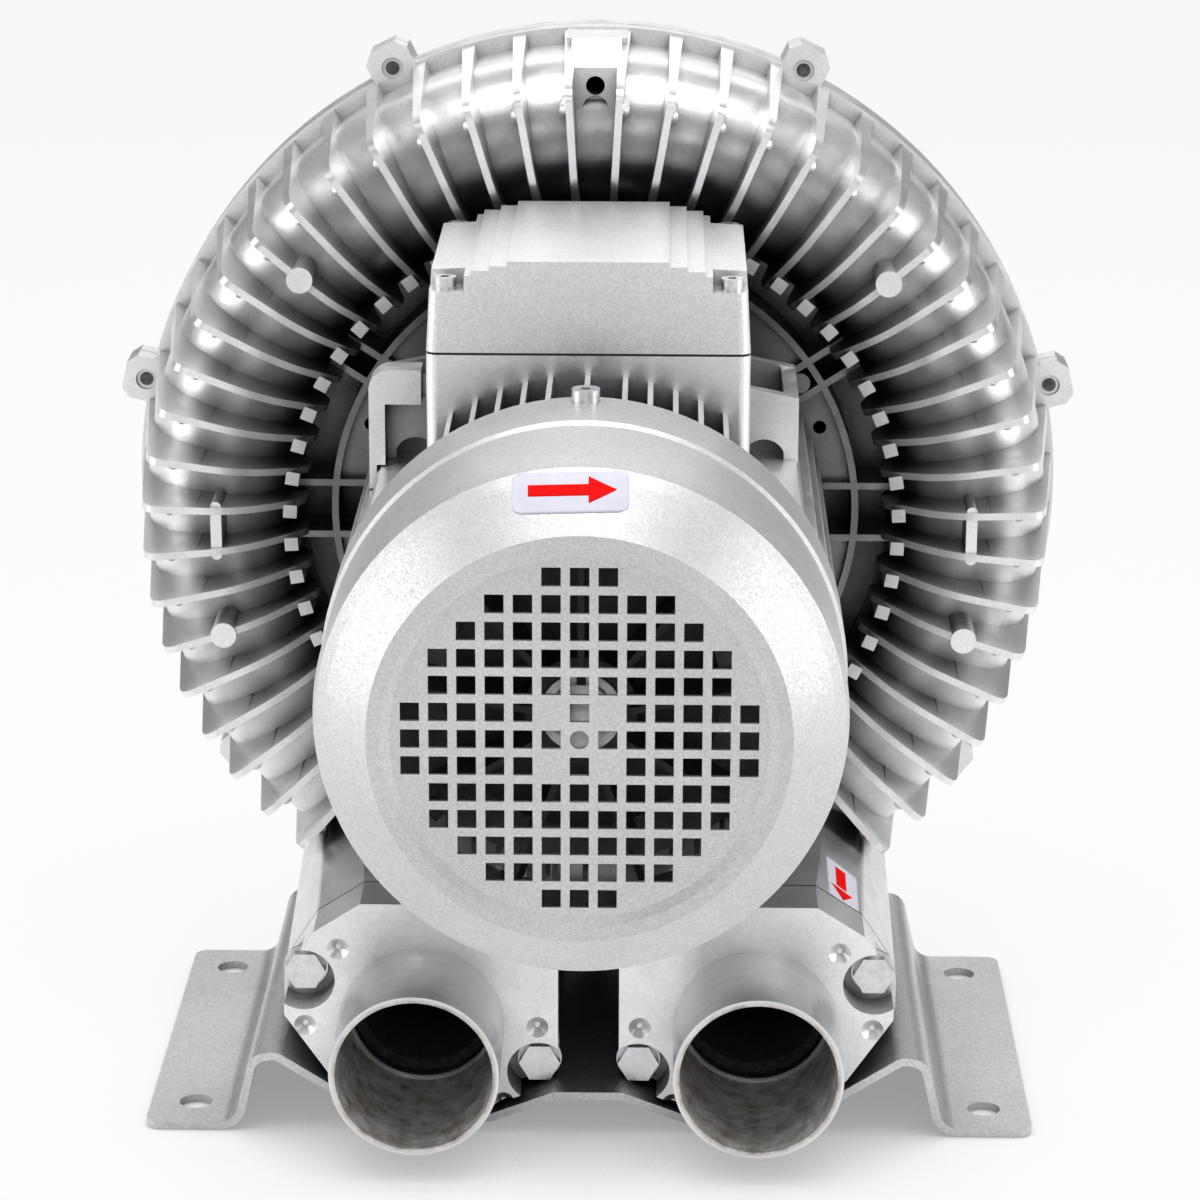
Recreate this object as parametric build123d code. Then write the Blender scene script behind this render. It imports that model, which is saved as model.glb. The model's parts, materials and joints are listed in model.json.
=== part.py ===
"""Side channel blower: a finned ring casing, an overhung impeller and a fan-cooled motor.

Millimetres. +Z is up. The origin is on the floor, at the centre of the four foot holes.
The motor axis runs along Y: the fan cowl faces -Y and the casing cover faces +Y.
"""
from build123d import *
import math
import os

# ---------------------------------------------------------------- driving dimensions
# foot bracket, bent from one sheet
FOOT_SPACING_X = 290.0
FOOT_SPACING_Y = 130.0
FOOT_HOLE_D = 12.0
SHEET_T = 3.0
BRACKET_WIDTH = 323.0
BRACKET_DEPTH = 166.0
BRACKET_CORNER_R = 5.0
WEB_X = 125.0
PEAK_X = 113.5
PEAK_Z = 31.0
VALLEY_OUTER_X = 76.0
VALLEY_INNER_X = 36.0
VALLEY_Z = 7.0
SADDLE_HALF_X = 12.5
SADDLE_Z = 16.0
BRACKET_SCREW_X = 44.0
BRACKET_SCREW_Y = 42.0

# motor axis and ring casing
AXIS_HEIGHT = 206.0
SPLIT_Y = 71.0
RIM_R = 175.0
RIM_T = 8.0
CHANNEL_R = 140.0
CHANNEL_HALF_WIDTH = 24.0
CHANNEL_DEPTH = 57.0
COVER_DEPTH = 46.0
CASING_WALL = 5.0
WEB_T = 6.0
HUB_BORE_R = 20.0
FIN_COUNT = 56
FIN_PAIRS = 22
FIN_T = 2.6
FIN_RIB_T = 5.0
FIN_CREST_R = 163.5
FIN_INNER_R = 107.0
FIN_HEIGHT = 23.5
COVER_FIN_HEIGHT = 9.0
LUG_COUNT = 7
LUG_R = 176.5
LUG_WIDTH = 17.0
COVER_SCREW_D = 5.0
COVER_SCREW_LENGTH = 17.2
SEAL_T = 0.6
LIFT_HOLE_D = 6.8
LIFT_HOLE_R = 161.5
LIFT_HOLE_DEPTH = 20.0
LIFT_FACE_Y = 12.0
SPIDER_R = 98.5
SPIDER_T = 2.5
SPIDER_Y = 22.0

# ports
PORT_X = 60.5
PORT_Z = 41.0
PIPE_D = 60.0
PIPE_WALL = 2.2
PIPE_FRONT_Y = -127.0
FLANGE_FRONT_Y = -82.0
FLANGE_T = 22.0
PORT_GASKET_T = 1.0
PORT_BOLT_D = 8.0
PORT_BOLT_R = 46.0
PORT_BOLT_ANGLE = 22.5
PORT_BOLT_GRIP = 7.0
PORT_BOLT_LENGTH = 25.0
DUCT_BORE_D = 60.0
SILENCER_D = 47.0
SILENCER_LENGTH = 66.0

# motor
SHAFT_D = 25.0
STATOR_BORE_D = 78.0
STATOR_D = 130.0
STATOR_LENGTH = 100.0
STATOR_FRONT_Y = -118.0
AIR_GAP = 0.4
ROTOR_RING_T = 8.0
FRAME_WALL = 4.5
FRAME_FIN_R = 85.5
FRAME_FIN_T = 1.8
FRAME_FIN_PITCH = 8.4
FRAME_FRONT_Y = -148.0
FRAME_BACK_Y = 18.0
END_SHIELD_T = 8.0
BEARING_D = 52.0
BEARING_BORE = 25.0
BEARING_T = 15.0
BALL_D = 7.9
BALL_COUNT = 9
DRIVE_BEARING_Y = 12.0
FAN_BEARING_Y = -152.0
FAN_R = 72.0
FAN_BLADES = 9
FAN_FRONT_Y = -222.0
FAN_BACK_Y = -196.0
COWL_R = 84.8
COWL_WALL = 1.5
COWL_BACK_Y = -147.0
COWL_COLLAR_Y = -178.0
COWL_SHOULDER_Y = -221.0
COWL_RIDGE_R = 66.5
COWL_FRONT_Y = -244.0
GRILLE_R = 59.2
GRILLE_RECESS = 2.0
GRILLE_PITCH = 8.8
GRILLE_HOLE = 6.0

# terminal box
BOX_HALF_X = 54.5
BOX_FRONT_Y = -115.0
BOX_BACK_Y = -12.0
BOX_SPLIT_Z = 298.0
LID_TOP_Z = 330.0
BOX_WALL = 3.5
LID_GASKET_T = 0.8

# impeller
IMPELLER_R = 150.0
BLADE_ROOT_R = 118.0
BLADE_COUNT = 44
BLADE_T = 2.0
IMPELLER_WIDTH = 36.0
IMPELLER_DISC_T = 8.0

# fasteners, seats and small parts
BEND_R = 7.0
BRACKET_SCREW_D = 6.0
BRACKET_HEAD_D = 10.5
BRACKET_HEAD_T = 3.3
BRACKET_SCREW_LENGTH = 9.0
WASHER_T = 1.6
PORT_BOLT_AF = 13.0
PORT_BOLT_HEAD = 5.3
PORT_POCKET_R = 11.5
PIPE_SEAT_T = 5.0
SPIGOT_STEP = 0.5
DIMPLE_R = 42.0
DIMPLE_ANGLES = (0.0, 45.0, 180.0, 225.0)
SHIELD_SCREW_D = 8.0
SHIELD_SCREW_R = 56.0
SHIELD_SCREW_ANGLES = (0.0, 90.0, 180.0, 270.0)
TIE_D = 5.0
TIE_R = 74.0
TIE_ANGLES = (45.0, 135.0, 225.0, 315.0)
LID_SCREW_D = 4.0
LID_SCREW_HEAD_D = 7.5
LID_SCREW_BITE = 12.0
LID_SCREW_INSET = 6.5
LID_POCKET_Z = 319.5
STUD_D = 4.0
SPRING_T = 0.8
COIL_T = 20.0
KEY_W = 6.0
IMPELLER_BOLT_D = 10.0
COWL_SCREW_D = 5.0
COWL_SCREW_HEAD_D = 9.4
COWL_SCREW_Y = -152.0
COWL_SCREW_BITE = 9.0
COWL_SCREW_ANGLES = (0.0, 120.0, 240.0)
COWL_STEP = 1.2
HUB_RING_R = 62.0
HUB_RIB_PAIRS = ((57.0, 10.5), (90.0, 20.0), (123.0, 10.5))
STRIPPER_ANGLE = 18.0
PAD_X = 72.0
PAD_FRONT_Y = -80.0
PAD_BACK_Y = -30.0
PAD_T = 5.0
PAD_LOW_Z = 241.5
PAD_ROOT = 1.6
ELBOW_LOW_Z = 245.2
ELBOW_FIN_SLOT = (250.8, 253.6)
PAD_RISE = 4.0
PAD_ARCH_LOW_Z = 254.0
PAD_ARCH_STEP = 2.0
PAD_ARCH_TOP_Z = 260.5
PAD_TOP_Z = 275.0
BOX_CORNER_R = 4.0
LID_POCKET = 13.0
FLANGE_LIP = 1.0
EJECTOR_R = 156.0
EJECTOR_D = 5.0
EJECTOR_Y = -7.0
PEG_W = 3.6
PEG_Y = 3.0
PIN_ANGLES = (48.2, 106.07)
PIN_R = 142.0
PIN_D = 9.5
PIN_Y = -13.0
BAR_LENGTH = 22.0
BAR_W = 4.0
BOSS_HALF_X = 9.2
SPIDER_PLATE_T = 3.0
HUB_HOLE_R = 89.4
HUB_HOLE_ANGLE = 69.3
HUB_HOLE_D = 5.0
HUB_BOSS_D = 7.5

# clearances, each measured on the radius or between two faces
RUNNING_CLEARANCE = 0.05
ROTOR_FACE_CLEARANCE = 1.5
SEAT_CLEARANCE = 0.3
SEAT_FIT = 0.02
HOLE_CLEARANCE = 0.4

# ---------------------------------------------------------------- derived places
MOTOR_AXIS = Axis((0, 0, AXIS_HEIGHT), (0, 1, 0))
FIN_PITCH = 360.0 / FIN_COUNT
LUG_PITCH = 360.0 / LUG_COUNT
LUG_ANGLES = [(k + 0.5) * LUG_PITCH for k in range(LUG_COUNT)]
FIN_ANGLES = [side * (k + 0.5) * FIN_PITCH for k in range(FIN_PAIRS) for side in (-1, 1)]
CHANNEL_IN = CHANNEL_R - CHANNEL_HALF_WIDTH
CHANNEL_OUT = CHANNEL_R + CHANNEL_HALF_WIDTH
SHELL_IN = CHANNEL_IN - CASING_WALL
SHELL_OUT = CHANNEL_OUT + CASING_WALL
CREST_Y = SPLIT_Y - CHANNEL_DEPTH - CASING_WALL
ARC_Y = SPLIT_Y - CHANNEL_DEPTH + CHANNEL_HALF_WIDTH
IMPELLER_FRONT = SPLIT_Y - IMPELLER_WIDTH / 2
IMPELLER_BACK = SPLIT_Y + IMPELLER_WIDTH / 2
WEB_BACK = IMPELLER_FRONT - ROTOR_FACE_CLEARANCE
WEB_FRONT = WEB_BACK - WEB_T
COVER_FACE = SPLIT_Y + SEAL_T
DUCT_FRONT = FLANGE_FRONT_Y + FLANGE_T + PORT_GASKET_T
FRAME_R = STATOR_D / 2 + FRAME_WALL
PIPE_R = PIPE_D / 2
FRONT_EDGE = -BRACKET_DEPTH / 2
BALL_PITCH_R = (BEARING_D + BEARING_BORE) / 4
RACE_T = (BEARING_D - BEARING_BORE) / 8

DUCT_INNER_X = 12.0
DUCT_OUTER_X = 112.0
DUCT_END = 50.0
SHIELD_FACE = FRAME_BACK_Y + END_SHIELD_T
SHIELD_R = FRAME_R + 12.0
BOX_FLOOR_Z = AXIS_HEIGHT + FRAME_R + 4.0
IMPELLER_HUB_FRONT = IMPELLER_FRONT
IMPELLER_SEAT_R = SHAFT_D / 2 - 0.5
IMPELLER_HUB_R = 30.0
SHAFT_END_Y = IMPELLER_BACK
NUT_DOME_R = 34.0
NUT_DOME_Y = SHAFT_END_Y + 16.0
FAN_SEAT_R = 10.0
FAN_HUB_FRONT = FAN_BACK_Y - 18.0
EAR_R = COWL_R + COWL_STEP - COWL_WALL - SEAT_CLEARANCE
STRIPPER_SHIFT = -STRIPPER_ANGLE / 2
LUG_FRONT_Y = SPLIT_Y - RIM_T - 0.6


# ---------------------------------------------------------------- helpers
def section(y):
    """Plane across the motor axis at y, seen from the fan end: local x is X, local y is Z."""
    return Plane(origin=(0, y, AXIS_HEIGHT), x_dir=(1, 0, 0), z_dir=(0, -1, 0))


def floor_section(y):
    """The same plane with its origin at floor height."""
    return Plane(origin=(0, y, 0), x_dir=(1, 0, 0), z_dir=(0, -1, 0))


RADIAL = Plane(origin=(0, 0, AXIS_HEIGHT), x_dir=(0, 0, 1), z_dir=(-1, 0, 0))


def bar(sketch, y_front, y_back):
    """A sketch around the motor axis, drawn out from y_front to y_back."""
    return extrude(section(y_back) * sketch, amount=y_back - y_front)


def block(sketch, y_front, y_back):
    """A sketch measured from the floor, drawn out from y_front to y_back."""
    return extrude(floor_section(y_back) * sketch, amount=y_back - y_front)


def ring(r_in, r_out, y_front, y_back):
    """A round sleeve about the motor axis."""
    return bar(Circle(r_out) - Circle(r_in), y_front, y_back)


def disc(radius, y_front, y_back):
    """A solid round about the motor axis."""
    return bar(Circle(radius), y_front, y_back)


def turned(points):
    """A body turned about the motor axis from (radius, y) points."""
    return revolve(RADIAL * make_face(Polyline(*points, close=True)), MOTOR_AXIS, 360)


def turn(shape, angle):
    """Turn a shape about the motor axis, from the top towards +X."""
    return shape.rotate(MOTOR_AXIS, angle)


def polar(radius, angle):
    """X and Z offsets of a point at a radius and an angle from the top."""
    return radius * math.sin(math.radians(angle)), radius * math.cos(math.radians(angle))


def rod_y(x, z, radius, y_front, y_back):
    """A round rod along Y, with x and z measured from the motor axis."""
    return bar(Pos(x, z) * Circle(radius), y_front, y_back)


def hexagon(across_flats):
    """A hexagon with the given size across its flats."""
    return RegularPolygon(across_flats / 2, 6, major_radius=False)


def box_between(x0, x1, y0, y1, z0, z1):
    """A box given by its two corners."""
    return Pos((x0 + x1) / 2, (y0 + y1) / 2, (z0 + z1) / 2) * Box(x1 - x0, y1 - y0, z1 - z0)


def mirrored(shape):
    """The same shape on the other side of the blower."""
    return mirror(shape, about=Plane.YZ)


def write(name, shape):
    """Write one node; a group of separate solids stays a group."""
    if isinstance(shape, (list, tuple)):
        shape = Compound(children=list(shape))
    shape.label = name
    export_step(shape, "parts/" + name + ".step")


# ---------------------------------------------------------------- foot bracket
def bracket_line():
    """Top line of the bracket across its width, left foot to right foot."""
    right = [
        (SADDLE_HALF_X, SADDLE_Z),
        (VALLEY_INNER_X, VALLEY_Z),
        (VALLEY_OUTER_X, VALLEY_Z),
        (PEAK_X, PEAK_Z),
        (WEB_X - 2.0, PEAK_Z - 2.0),
        (WEB_X + 4.0, SHEET_T),
        (BRACKET_WIDTH / 2, SHEET_T),
    ]
    left = [(-x, z) for x, z in reversed(right)]
    return FilletPolyline(*left, *right, radius=BEND_R)


def base_bracket():
    strip = make_face(offset(bracket_line(), amount=SHEET_T, side=Side.RIGHT))
    sheet = block(strip, FRONT_EDGE, -FRONT_EDGE)
    corners = sheet.edges().filter_by(Axis.Z).filter_by(
        lambda edge: abs(edge.center().X) > BRACKET_WIDTH / 2 - 0.1)
    sheet = fillet(corners, BRACKET_CORNER_R)
    feet = GridLocations(FOOT_SPACING_X, FOOT_SPACING_Y, 2, 2)
    sheet -= feet * Cylinder(FOOT_HOLE_D / 2, 3 * SHEET_T)
    screws = GridLocations(2 * BRACKET_SCREW_X, 2 * BRACKET_SCREW_Y, 2, 2)
    hole = Cylinder(BRACKET_SCREW_D / 2 + HOLE_CLEARANCE, 4 * SHEET_T)
    return sheet - [Pos(0, 0, VALLEY_Z) * place * hole for place in screws]


def bracket_screws():
    """Low button-head screws, driven up through the valleys into the two ducts."""
    head_top = VALLEY_Z - SHEET_T
    head = Pos(0, 0, head_top) * Cylinder(
        BRACKET_HEAD_D / 2, BRACKET_HEAD_T, align=(Align.CENTER, Align.CENTER, Align.MAX))
    shank = Pos(0, 0, head_top) * Cylinder(
        BRACKET_SCREW_D / 2, BRACKET_SCREW_LENGTH, align=(Align.CENTER, Align.CENTER, Align.MIN))
    socket = Pos(0, 0, head_top - BRACKET_HEAD_T) * extrude(hexagon(4.0), amount=2.0)
    screw = head + shank - socket
    return [place * screw for place in GridLocations(2 * BRACKET_SCREW_X, 2 * BRACKET_SCREW_Y, 2, 2)]


# ---------------------------------------------------------------- ring casing
def bowl(y_split, y_arc, half_width):
    """Radial outline of a channel: straight walls from the split plane to a half round."""
    y_mid = (y_split + y_arc) / 2
    walls = Pos(CHANNEL_R, y_mid) * Rectangle(2 * half_width, abs(y_split - y_arc))
    return walls + Pos(CHANNEL_R, y_arc) * Circle(half_width)


def strip(r_in, r_out, y0, y1):
    """A rectangle in the radial plane."""
    return Pos((r_in + r_out) / 2, (y0 + y1) / 2) * Rectangle(r_out - r_in, abs(y1 - y0))


def revolved(sketch, angle=360):
    return revolve(RADIAL * sketch, MOTOR_AXIS, angle)


def fin(y_rim, height, y_arc):
    """One cooling fin at the top of a casing half; height is from the shell's crest."""
    away = -1 if y_arc < y_rim else 1
    shell = CHANNEL_HALF_WIDTH + CASING_WALL
    crest = y_arc + away * (shell + height)
    edge = FilletPolyline(
        (RIM_R - 1.0, y_rim),
        (FIN_CREST_R + 2.5, crest - away * 7.0),
        (FIN_CREST_R, crest),
        (FIN_CREST_R - 33.0, crest - away * 4.0),
        (FIN_INNER_R + 5.0, crest - away * 20.0),
        (FIN_INNER_R, crest - away * 26.0),
        (FIN_INNER_R, crest - away * 36.0),
        radius=[20.0, 5.0, 40.0, 20.0, 5.0])
    foot = Polyline((FIN_INNER_R, crest - away * 36.0), (CHANNEL_IN, y_arc), (CHANNEL_IN, y_rim),
                    (RIM_R - 1.0, y_rim))
    outline = RADIAL * make_face([edge, foot])
    plate = extrude(outline, amount=FIN_T / 2, both=True)
    wedge = make_face(Polyline((-FIN_RIB_T / 2, y_rim), (FIN_RIB_T / 2, y_rim), (FIN_T / 2, crest),
                               (-FIN_T / 2, crest), close=True))
    wedge = extrude(Plane.XY.offset(AXIS_HEIGHT + CHANNEL_R + 6.0) * wedge, amount=RIM_R)
    rib = extrude(outline, amount=FIN_RIB_T / 2, both=True) & wedge
    return plate + rib


def fin_marks(side):
    """Ejector boss and end peg that stand on the lower side of a motor-side fin at the top."""
    boss = rod_y(side * FIN_T / 2, EJECTOR_R, EJECTOR_D / 2, EJECTOR_Y, EJECTOR_Y + 22.0)
    tip = Plane(origin=(side * FIN_T / 2, EJECTOR_Y, AXIS_HEIGHT + EJECTOR_R), z_dir=(0, -1, 0)) * Cone(
        EJECTOR_D / 2, EJECTOR_D / 6, 1.5, align=(Align.CENTER, Align.CENTER, Align.MIN))
    x0, x1 = sorted((0.0, side * (FIN_T / 2 + PEG_W)))
    peg_z = AXIS_HEIGHT + SHELL_IN
    peg = box_between(x0, x1, PEG_Y, PEG_Y + 24.0, peg_z - 1.0, peg_z + 4.0)
    return [boss, tip, peg]


def lug(y_front, y_back):
    """One chamfered screw lug at the top of the rim."""
    top = LUG_R + LUG_WIDTH / 2
    outline = chamfer((Rectangle(LUG_WIDTH, 2 * LUG_WIDTH)).vertices().group_by(Axis.Y)[-1], 3.5)
    return bar(Pos(0, top - LUG_WIDTH) * outline, y_front, y_back)


def lifting_boss():
    """Block between the two top fins that takes the lifting eye; it flares where it meets the rim."""
    bottom = LIFT_HOLE_R - 10.0
    front = [(-BOSS_HALF_X, bottom), (BOSS_HALF_X, bottom), (BOSS_HALF_X, SHELL_OUT - 1.0),
             (BOSS_HALF_X + 2.0, RIM_R - 1.0), (-BOSS_HALF_X - 2.0, RIM_R - 1.0),
             (-BOSS_HALF_X, SHELL_OUT - 1.0)]
    low = bar(make_face(Polyline(*front[:3], front[5], close=True)), LIFT_FACE_Y, SPLIT_Y - RIM_T)
    high = bar(make_face(Polyline(*front, close=True)), LIFT_FACE_Y + 30.0, SPLIT_Y - RIM_T)
    slope = make_face(Polyline((LIFT_FACE_Y, SHELL_OUT - 1.0), (LIFT_FACE_Y + 30.0, RIM_R - 1.0),
                               (LIFT_FACE_Y + 30.0, SHELL_OUT - 1.0), close=True))
    side_plane = Plane(origin=(0, 0, AXIS_HEIGHT), x_dir=(0, 1, 0), z_dir=(1, 0, 0))
    ramp = extrude(side_plane * slope, amount=BOSS_HALF_X, both=True)
    arch = rod_y(0, bottom + 2.0, 4.5, LIFT_FACE_Y, LIFT_FACE_Y + 2.0)
    return low + high + ramp - arch


def duct_outline(shoulder, crown, slope):
    """Cross-section of the right duct: it follows the bracket below and slopes in above."""
    points = [
        (DUCT_INNER_X, crown),
        (DUCT_INNER_X, SADDLE_Z + 3.5),
        (VALLEY_INNER_X + 4.0, VALLEY_Z),
        (VALLEY_OUTER_X - 4.0, VALLEY_Z),
        (DUCT_OUTER_X - 4.0, PEAK_Z + 1.0),
        (DUCT_OUTER_X, PEAK_Z + 9.0),
        (DUCT_OUTER_X, shoulder),
        (DUCT_OUTER_X - slope, (shoulder + crown) / 2 + 6.0),
        (DUCT_OUTER_X - 2.3 * slope, crown),
    ]
    line = FilletPolyline(*points, radius=[3.0, 3.0, 3.0, 3.0, 4.0, 6.0, 8.0])
    return make_face([line, Line(points[-1], points[0])])


def duct():
    """Right-hand duct body, from the port face back under the ring."""
    front = floor_section(DUCT_FRONT) * duct_outline(52.0, 88.0, 13.0)
    back = floor_section(SPLIT_Y - RIM_T) * duct_outline(76.0, 98.0, 8.0)
    return loft([front, back], ruled=True)


def port_bolt_spots():
    """The two bolt centres of the right-hand port, x from the middle and z from the floor."""
    reach = PORT_BOLT_R * math.cos(math.radians(PORT_BOLT_ANGLE))
    rise = PORT_BOLT_R * math.sin(math.radians(PORT_BOLT_ANGLE))
    return [(PORT_X + reach, PORT_Z + rise), (PORT_X - reach, PORT_Z - rise)]


def spider_rib(angle, offset):
    """A rib of the hub, beside the radius at this angle, that bridges the gap to the ring's shell."""
    start = SHIELD_R + 2.5
    end = SHELL_IN + 2.0
    rib = bar(Pos(offset, (start + end) / 2) * Rectangle(SPIDER_T, end - start), SPIDER_Y, WEB_FRONT + 0.5)
    return turn(rib, angle)


def hub_spider():
    """Rim, flat sector plates, paired ribs and bosses on the motor side of the hub."""
    plates = ring(HUB_RING_R, SPIDER_R, SHIELD_FACE, SHIELD_FACE + SPIDER_PLATE_T)
    slots = []
    parts = [ring(SPIDER_R - SPIDER_T, SPIDER_R, SPIDER_Y, WEB_FRONT + 0.5)]
    parts.append(ring(HUB_RING_R - 8.0, HUB_RING_R + 0.5, SHIELD_FACE, WEB_FRONT + 0.5))
    for angle, gap in HUB_RIB_PAIRS:
        for flank in (-1, 1):
            parts += [spider_rib(flank * angle, side * gap / 2) for side in (-1, 1)]
            corridor = Pos(0, SHIELD_R) * Rectangle(gap - SPIDER_T, 2 * (SPIDER_R - SPIDER_T - SHIELD_R))
            slots.append(turn(bar(corridor, SHIELD_FACE, SHIELD_FACE + SPIDER_PLATE_T), flank * angle))
    for flank in (-1, 1):
        x, z = polar(HUB_HOLE_R, flank * HUB_HOLE_ANGLE)
        slots.append(rod_y(x, z, HUB_HOLE_D / 2, SHIELD_FACE, SHIELD_FACE + SPIDER_PLATE_T))
        x, z = polar(SPIDER_R - 8.0, flank * HUB_RIB_PAIRS[0][0])
        parts.append(rod_y(x, z, HUB_BOSS_D / 2, SPIDER_Y, WEB_FRONT + 0.5))
    parts.append(plates.cut(*slots))
    return parts


def ring_pins():
    """Round pins and short bars that were left on the ring by the casting tool."""
    parts = []
    for angle in PIN_ANGLES:
        for flank in (-1, 1):
            parts.append(rod_y(*polar(PIN_R, flank * angle), PIN_D / 2, PIN_Y, PIN_Y + 28.0))
    for flank in (-1, 1):
        shape = SlotOverall(BAR_LENGTH, BAR_W)
        parts.append(turn(bar(Pos(0, PIN_R - 3.5) * shape, PIN_Y + 3.0, PIN_Y + 28.0), flank * 90.0))
    return parts


def blower_housing():
    """Motor-side casing half: channel bowl, rim, fins, lugs, hub spider and both ducts."""
    outer = bowl(SPLIT_Y, ARC_Y, CHANNEL_HALF_WIDTH + CASING_WALL)
    outer += strip(CHANNEL_OUT, RIM_R, SPLIT_Y - RIM_T, SPLIT_Y)
    outer += strip(HUB_BORE_R, CHANNEL_IN, WEB_FRONT, SPLIT_Y)
    outer += strip(HUB_BORE_R, HUB_BORE_R + 8.0, WEB_FRONT - 6.0, SPLIT_Y)
    body = revolved(outer)
    one_fin = fin(SPLIT_Y - RIM_T, FIN_HEIGHT, ARC_Y)
    pieces = [turn(one_fin, angle) for angle in FIN_ANGLES]
    one_lug = lug(LUG_FRONT_Y, SPLIT_Y)
    pieces += [turn(one_lug, angle) for angle in LUG_ANGLES]
    pieces += [lifting_boss(), duct(), mirrored(duct())]
    for angle in FIN_ANGLES:
        pieces += [turn(mark, angle) for mark in fin_marks(1 if angle > 0 else -1)]
    pieces += hub_spider() + ring_pins()
    body = body.fuse(*pieces)
    cavity = bowl(SPLIT_Y + 1.0, ARC_Y, CHANNEL_HALF_WIDTH)
    cavity += strip(0, CHANNEL_R, WEB_BACK, SPLIT_Y + 1.0)
    tools = [revolved(cavity)]
    for x, z in port_bolt_spots():
        hole = block(Pos(x, z) * Circle(PORT_BOLT_D / 2 + RUNNING_CLEARANCE), DUCT_FRONT, DUCT_FRONT + 20.0)
        tools += [hole, mirrored(hole)]
    bore = block(Pos(PORT_X, PORT_Z) * Circle(DUCT_BORE_D / 2), DUCT_FRONT, DUCT_END)
    tools += [bore, mirrored(bore)]
    lug_hole = rod_y(0, LUG_R, COVER_SCREW_D / 2 + RUNNING_CLEARANCE, SPLIT_Y - 2 * RIM_T, SPLIT_Y)
    mouth = rod_y(0, LUG_R, COVER_SCREW_D / 2 + 1.5, SPLIT_Y - 2 * RIM_T, LUG_FRONT_Y + 1.0)
    tools += [turn(tool, angle) for angle in LUG_ANGLES for tool in (lug_hole, mouth)]
    tools.append(rod_y(0, LIFT_HOLE_R, LIFT_HOLE_D / 2, LIFT_FACE_Y, LIFT_FACE_Y + LIFT_HOLE_DEPTH))
    tools += [Pos(x, y, VALLEY_Z) * Cylinder(BRACKET_SCREW_D / 2 + RUNNING_CLEARANCE,
                                             BRACKET_SCREW_LENGTH - SHEET_T + 1.0,
                                             align=(Align.CENTER, Align.CENTER, Align.MIN))
              for x in (-BRACKET_SCREW_X, BRACKET_SCREW_X) for y in (-BRACKET_SCREW_Y, BRACKET_SCREW_Y)]
    tools += [rod_y(*polar(SHIELD_SCREW_R, angle), SHIELD_SCREW_D / 2 + RUNNING_CLEARANCE,
                    SHIELD_FACE, WEB_FRONT - 2.0) for angle in SHIELD_SCREW_ANGLES]
    return body.cut(*tools) + stripper()


def stripper():
    """Solid wall in the channel between the two ports, at the bottom of the ring."""
    plug = bowl(WEB_BACK, ARC_Y, CHANNEL_HALF_WIDTH) & strip(CHANNEL_IN, CHANNEL_OUT, CREST_Y, WEB_BACK)
    half = revolved(plug, STRIPPER_ANGLE)
    return turn(half, 180.0 + STRIPPER_SHIFT)


def housing_cover():
    """Far casing half: shallower bowl, rim, fins, lugs and a dished middle."""
    y_arc = COVER_FACE + COVER_DEPTH - CHANNEL_HALF_WIDTH
    outer = bowl(COVER_FACE, y_arc, CHANNEL_HALF_WIDTH + CASING_WALL)
    outer &= strip(0, RIM_R, COVER_FACE, COVER_FACE + 2 * COVER_DEPTH)
    outer += strip(CHANNEL_OUT, RIM_R, COVER_FACE, COVER_FACE + RIM_T)
    outer += strip(0, CHANNEL_IN, COVER_FACE, IMPELLER_BACK + ROTOR_FACE_CLEARANCE + WEB_T)
    outer += strip(0, NUT_DOME_R + CASING_WALL, COVER_FACE, NUT_DOME_Y + CASING_WALL)
    body = revolved(outer)
    one_fin = fin(COVER_FACE + RIM_T, COVER_FIN_HEIGHT, y_arc)
    one_lug = lug(COVER_FACE, COVER_FACE + RIM_T + 0.6)
    pieces = [turn(one_fin, (k + 0.5) * FIN_PITCH) for k in range(FIN_COUNT)]
    pieces += [turn(one_lug, angle) for angle in LUG_ANGLES]
    body = body.fuse(*pieces)
    cavity = bowl(COVER_FACE - 1.0, y_arc, CHANNEL_HALF_WIDTH)
    cavity += strip(0, CHANNEL_R, COVER_FACE - 1.0, IMPELLER_BACK + ROTOR_FACE_CLEARANCE)
    cavity += strip(0, NUT_DOME_R, COVER_FACE - 1.0, NUT_DOME_Y)
    lug_hole = rod_y(0, LUG_R, COVER_SCREW_D / 2 + HOLE_CLEARANCE, COVER_FACE, COVER_FACE + 2 * RIM_T)
    tools = [revolved(cavity)] + [turn(lug_hole, angle) for angle in LUG_ANGLES]
    return body.cut(*tools)


def cover_seal():
    return ring(CHANNEL_OUT + 1.0, RIM_R - 1.0, SPLIT_Y, COVER_FACE)


def socket_screw(diameter, length, y_head, away):
    """Socket-head screw on the motor axis line; the head's seat is at y_head, its tip at -away."""
    head_t = diameter
    y0, y1 = sorted((y_head, y_head + away * head_t))
    head = disc(0.85 * diameter, y0, y1)
    y0, y1 = sorted((y_head, y_head - away * length))
    shank = disc(diameter / 2, y0, y1)
    y0, y1 = sorted((y_head + away * head_t, y_head + away * head_t / 2))
    return head + shank - bar(hexagon(0.8 * diameter), y0, y1)


def cover_screws():
    screw = Pos(0, 0, LUG_R) * socket_screw(COVER_SCREW_D, COVER_SCREW_LENGTH, COVER_FACE + RIM_T + 0.6, 1)
    return [turn(screw, angle) for angle in LUG_ANGLES]


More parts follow.
